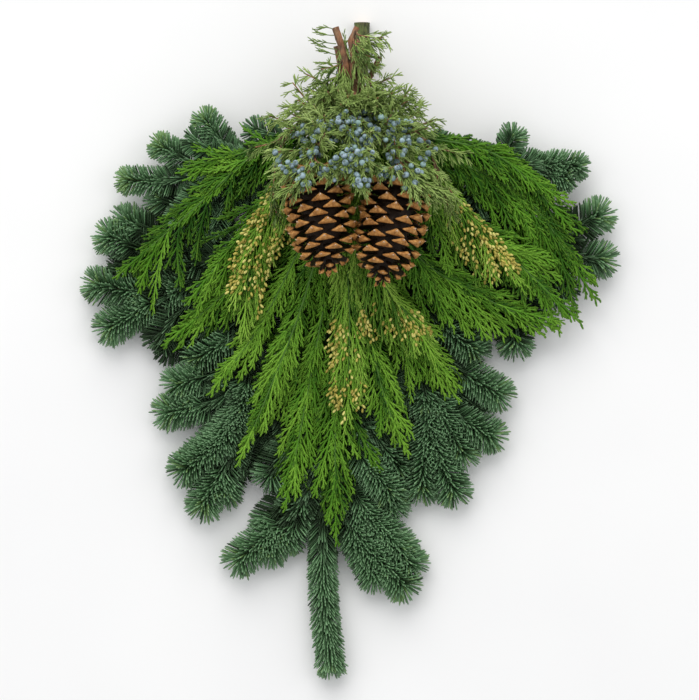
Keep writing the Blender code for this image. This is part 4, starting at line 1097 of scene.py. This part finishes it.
class Paint:
    """A procedural material under construction."""

    def __init__(self, name, roughness, **values):
        self.material = bpy.data.materials.new(name)
        self.material.use_nodes = True
        self.tree = self.material.node_tree
        self.shader = self.tree.nodes["Principled BSDF"]
        self.set(self.shader, {"Roughness": roughness, **values})

    def put(self, socket, value):
        """Links the value to the socket, or sets it there, a colour with its alpha."""
        if isinstance(value, bpy.types.NodeSocket):
            self.tree.links.new(value, socket)
        else:
            socket.default_value = (*value, 1) if socket.type == "RGBA" else value

    def set(self, node, values):
        for key, value in values.items():
            self.put(node.inputs[key], value)

    def node(self, kind, values=None, **settings):
        made = self.tree.nodes.new("ShaderNode" + kind)
        for key, value in settings.items():
            setattr(made, key, value)
        self.set(made, values or {})
        return made

    def tone(self, axis):
        """One of the corners' tones: X the blade's draw, Y the share along it, Z round it."""
        found = self.node("Attribute", attribute_name="tone")
        return self.node("SeparateXYZ", {"Vector": found.outputs["Vector"]}).outputs[axis]

    def noise(self, scale, detail=3.0, roughness=0.55, stretch=(1, 1, 1)):
        place = self.node("TexCoord").outputs["Object"]
        place = self.node("Mapping", {"Vector": place, "Scale": stretch}).outputs["Vector"]
        values = {"Vector": place, "Scale": scale, "Detail": detail, "Roughness": roughness}
        return self.node("TexNoise", values).outputs["Fac"]

    def ramp(self, factor, *stops):
        made = self.node("ValToRGB", {"Fac": factor})
        while len(made.color_ramp.elements) < len(stops):
            made.color_ramp.elements.new(1.0)
        for element, (place, colour) in zip(made.color_ramp.elements, stops):
            element.position = place
            element.color = (*colour, 1) if isinstance(colour, tuple) else (colour, colour, colour, 1)
        return made.outputs["Color"]

    def mix(self, factor, first, second, blend="MIX"):
        made = self.node("Mix", data_type="RGBA", blend_type=blend)
        for index, value in ((0, factor), (6, first), (7, second)):
            self.put(made.inputs[index], value)
        return made.outputs[2]

    def times(self, first, second, share=1.0):
        return self.mix(share, first, second, "MULTIPLY")

    def sums(self, operation, *values):
        made = self.node("Math", operation=operation)
        for socket, value in zip(made.inputs, values):
            self.put(socket, value)
        return made.outputs[0]

    def drift(self, scale, amount):
        """The blade's draw, moved up and down over the piece by half the amount."""
        moved = self.sums("MULTIPLY_ADD", self.noise(scale), amount, -amount / 2)
        return self.sums("ADD", self.tone("X"), moved)

    def finish(self, colour, height, strength=0.3, distance=0.0004):
        self.set(self.shader, {"Base Color": colour})
        bump = self.node("Bump", {"Height": height, "Strength": strength, "Distance": distance})
        self.set(self.shader, {"Normal": bump.outputs["Normal"]})
        return self.material


def fir_paint():
    """Waxy needles, with painted shade that darkens each root near the twig, and paler at the tip. A draw
    above 1 is a young, greener one.
    """
    paint = Paint("fir_needles", 0.45, **{"Specular IOR Level": 0.25})
    draw = paint.drift(28, 0.9)
    # the darkest draws are the painted shade of the needles under the cedar
    body = paint.ramp(paint.sums("MULTIPLY", draw, 0.5), (0.0, (0.016, 0.040, 0.012)),
                      (0.22, (0.09, 0.205, 0.082)), (0.40, (0.15, 0.305, 0.138)),
                      (0.52, (0.215, 0.39, 0.19)), (0.66, (0.16, 0.29, 0.09)))
    tip = paint.ramp(paint.tone("Y"), (0.75, 0.0), (1.0, 0.30))
    # needles in painted shade lose their pale tips
    tip = paint.times(tip, paint.ramp(draw, (0.0, 0.0), (0.3, 1.0)))
    body = paint.mix(tip, body, (0.36, 0.50, 0.32))
    # painted shade that darkens each needle towards its root, near the twig
    painted_root_shade = paint.ramp(paint.tone("Y"), (0.1, 0.40), (0.75, 1.0))
    return paint.finish(paint.times(body, painted_root_shade), paint.noise(900, 2), 0.25)


def leaf_paint(name, dark, middle, light, tip, roughness=0.42):
    """Scaly leaves: bands of scales along each strand, and colour that drifts over the frond."""
    paint = Paint(name, roughness, **{"Specular IOR Level": 0.12})
    body = paint.ramp(paint.drift(22, 1.1), (0.05, dark), (0.5, middle), (0.95, light))
    body = paint.mix(paint.ramp(paint.tone("Y"), (0.5, 0.0), (1.0, 0.6)), body, tip)
    scales = paint.noise(700, 1.0)
    return paint.finish(paint.times(body, paint.ramp(scales, (0.36, 0.62), (0.56, 1.0))), scales, 0.45)


def bark_paint(name, dark, light, moss=None, young=None):
    """Ridged bark, with patches of moss or lichen, or with a young green end, if given."""
    paint = Paint(name, 0.75)
    grain = paint.noise(160, 5, 0.65, (3, 0.5, 3))
    body = paint.ramp(grain, (0.35, dark), (0.62, light))
    if moss:
        patches = paint.ramp(paint.noise(90, 4), (0.38, 0.1), (0.58, 0.85))
        body = paint.mix(patches, body, paint.times(moss, paint.ramp(grain, (0.40, 0.2), (0.58, 1.0))))
    if young:
        body = paint.mix(paint.ramp(paint.tone("Y"), (0.28, 0.0), (0.45, 1.0)), body, young)
    return paint.finish(body, grain, 0.6, 0.0012)


def cut_wood_paint():
    paint = Paint("cut_wood", 0.7)
    rings = paint.sums("FRACT", paint.sums("MULTIPLY", paint.tone("Y"), 7.0))
    body = paint.ramp(rings, (0.0, (0.52, 0.37, 0.20)), (0.85, (0.40, 0.25, 0.12)),
                      (1.0, (0.28, 0.16, 0.07)))
    return paint.finish(body, paint.noise(500))


def pollen_paint():
    paint = Paint("pollen_cones", 0.6)
    body = paint.ramp(paint.drift(90, 0.8), (0.0, (0.33, 0.27, 0.035)), (0.5, (0.55, 0.47, 0.08)),
                      (1.0, (0.80, 0.74, 0.22)))
    scales = paint.noise(1200, 1)
    return paint.finish(paint.times(body, paint.ramp(scales, (0.4, 0.5), (0.6, 1.0)), 0.6), scales, 0.5)


def berry_paint():
    """Blue-black berries under a pale bloom, some still green, with a dark eye at the end."""
    paint = Paint("juniper_berries", 0.55)
    bloom = paint.noise(260, 4, 0.6)
    draw = paint.sums("ADD", bloom, paint.sums("MULTIPLY_ADD", paint.tone("X"), 0.3, -0.15))
    body = paint.ramp(draw, (0.30, (0.045, 0.085, 0.085)), (0.46, (0.15, 0.23, 0.25)),
                      (0.62, (0.34, 0.44, 0.53)))
    body = paint.mix(paint.ramp(paint.tone("X"), (0.72, 0.0), (0.95, 0.55)), body, (0.20, 0.36, 0.28))
    eye = paint.ramp(paint.tone("Y"), (0.93, 0.0), (0.99, 0.9))
    return paint.finish(paint.mix(eye, body, (0.05, 0.06, 0.05)), bloom, 0.2)


def cone_paint():
    """Dark brown inside, deepened to near black with painted shade in the recesses, wood brown from the rim
    of a scale's end outwards, and a pale boss.
    """
    paint = Paint("cone_scales", 0.6, **{"Specular IOR Level": 0.25})
    grain = paint.noise(240, 6, 0.7)
    wood = paint.ramp(grain, (0.32, (0.16, 0.058, 0.014)), (0.50, (0.40, 0.18, 0.046)),
                      (0.68, (0.62, 0.34, 0.115)))
    # the inner faces: dark brown wood, with painted shade that makes them near black in the recesses
    inner_wood_and_painted_shade = paint.ramp(grain, (0.35, (0.012, 0.007, 0.004)), (0.65, (0.042, 0.020, 0.010)))
    reach = paint.sums("MULTIPLY_ADD", paint.tone("Z"), 0.22, paint.tone("Y"))
    body = paint.mix(paint.ramp(reach, (0.90, 0.0), (0.95, 1.0)), inner_wood_and_painted_shade, wood)
    boss = paint.ramp(paint.tone("Y"), (0.94, 0.0), (0.975, 0.85))
    return paint.finish(paint.mix(boss, body, (0.72, 0.55, 0.42)), grain, 0.5, 0.0008)


def wire_paint():
    paint = Paint("green_wire", 0.35, Metallic=0.5)
    wear = paint.noise(400, 3)
    body = paint.ramp(wear, (0.45, (0.03, 0.09, 0.045)), (0.7, (0.06, 0.14, 0.08)),
                      (0.8, (0.25, 0.25, 0.22)))
    return paint.finish(body, wear, 0.2)


paint_fir = fir_paint()
paint_fir_bark = bark_paint("fir_bark", (0.022, 0.020, 0.010), (0.13, 0.10, 0.045),
                            moss=(0.125, 0.175, 0.04))
paint_cut_wood = cut_wood_paint()
paint_cedar = leaf_paint("cedar_leaves", (0.022, 0.085, 0.006), (0.090, 0.250, 0.016), (0.185, 0.39, 0.036),
                         (0.18, 0.36, 0.036))
paint_cedar_rib = bark_paint("cedar_ribs", (0.08, 0.04, 0.015), (0.17, 0.09, 0.04),
                             young=(0.06, 0.15, 0.015))
paint_strand = leaf_paint("pollen_strands", (0.06, 0.17, 0.014), (0.18, 0.39, 0.032), (0.34, 0.56, 0.08),
                          (0.32, 0.50, 0.08))
paint_pollen = pollen_paint()
paint_juniper = leaf_paint("juniper_leaves", (0.06, 0.12, 0.024), (0.28, 0.41, 0.10), (0.45, 0.59, 0.20),
                           (0.42, 0.53, 0.18), 0.5)
paint_juniper_bark = bark_paint("juniper_bark", (0.13, 0.045, 0.02), (0.36, 0.15, 0.065),
                                moss=(0.26, 0.16, 0.09))
paint_berry = berry_paint()
paint_cone = cone_paint()
paint_wire = wire_paint()


# The swag


def cedar_places():
    """Places all over the cedar fronds, (x, y)."""
    places = []
    for layer, seat_x, _, on_rib, traced in CEDAR_FRONDS.values():
        rib = rib_route(layer, seat_x, on_rib)
        places += [*rib[::3, :2]]
        for share, *end in traced_sprays(seat_x, on_rib, traced):
            start = spots_on(rib, [share])[0][0, :2]
            places += [start + (np.array(end) - start) * part for part in (0.35, 0.7)]
    return np.array(places)


CEDAR_PLACES = cedar_places()
make_fir()
make_cedar()
make_juniper()
make_cones()
for node in ["wire_binding", "wire_of_pine_cone_left", "wire_of_pine_cone_right"]:
    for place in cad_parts[node].material_slots:
        place.material = paint_wire


# The studio


def area_light(name, place, power, size, colour):
    """A square light that faces the origin."""
    lamp = bpy.data.lights.new(name, "AREA")
    lamp.energy = power
    lamp.size = size
    lamp.color = colour
    x, y, z = place
    put_in_scene(name, lamp, place).rotation_euler = (math.atan2(math.hypot(x, y), z), 0, math.atan2(x, -y))


def studio():
    mesh = bpy.data.meshes.new("floor")
    corners = [(x * FLOOR_HALF, y * FLOOR_HALF, 0) for x, y in ((-1, -1), (1, -1), (1, 1), (-1, 1))]
    mesh.from_pydata(corners, [], [(0, 1, 2, 3)])
    paint = Paint("floor", 0.8)
    clouds = paint.ramp(paint.noise(3, 2), (0.3, (0.86, 0.86, 0.865)), (0.7, (0.90, 0.90, 0.90)))
    paint.set(paint.shader, {"Base Color": clouds})
    mesh.materials.append(paint.material)
    put_in_scene("floor", mesh)
    for name, light in LIGHTS.items():
        area_light(name, *light)
    world = bpy.data.worlds.new("studio")
    world.use_nodes = True
    sky = world.node_tree.nodes["Background"]
    sky.inputs["Color"].default_value = SKY_COLOUR
    sky.inputs["Strength"].default_value = SKY_STRENGTH
    bpy.context.scene.world = world
    bpy.context.scene.view_settings.view_transform = "Standard"


def camera():
    """Looks straight down on the swag, through a long lens, with the photograph's frame."""
    eye = bpy.data.cameras.new("camera")
    eye.lens = LENS
    eye.sensor_width = SENSOR
    eye.clip_end = 20
    height = IMAGE_WIDTH * PIXEL * MM * LENS / SENSOR
    place = (-CENTRE[0] * MM, (PIXEL - CENTRE[1]) * MM, height)
    bpy.context.scene.camera = put_in_scene("camera", eye, place)


studio()
camera()
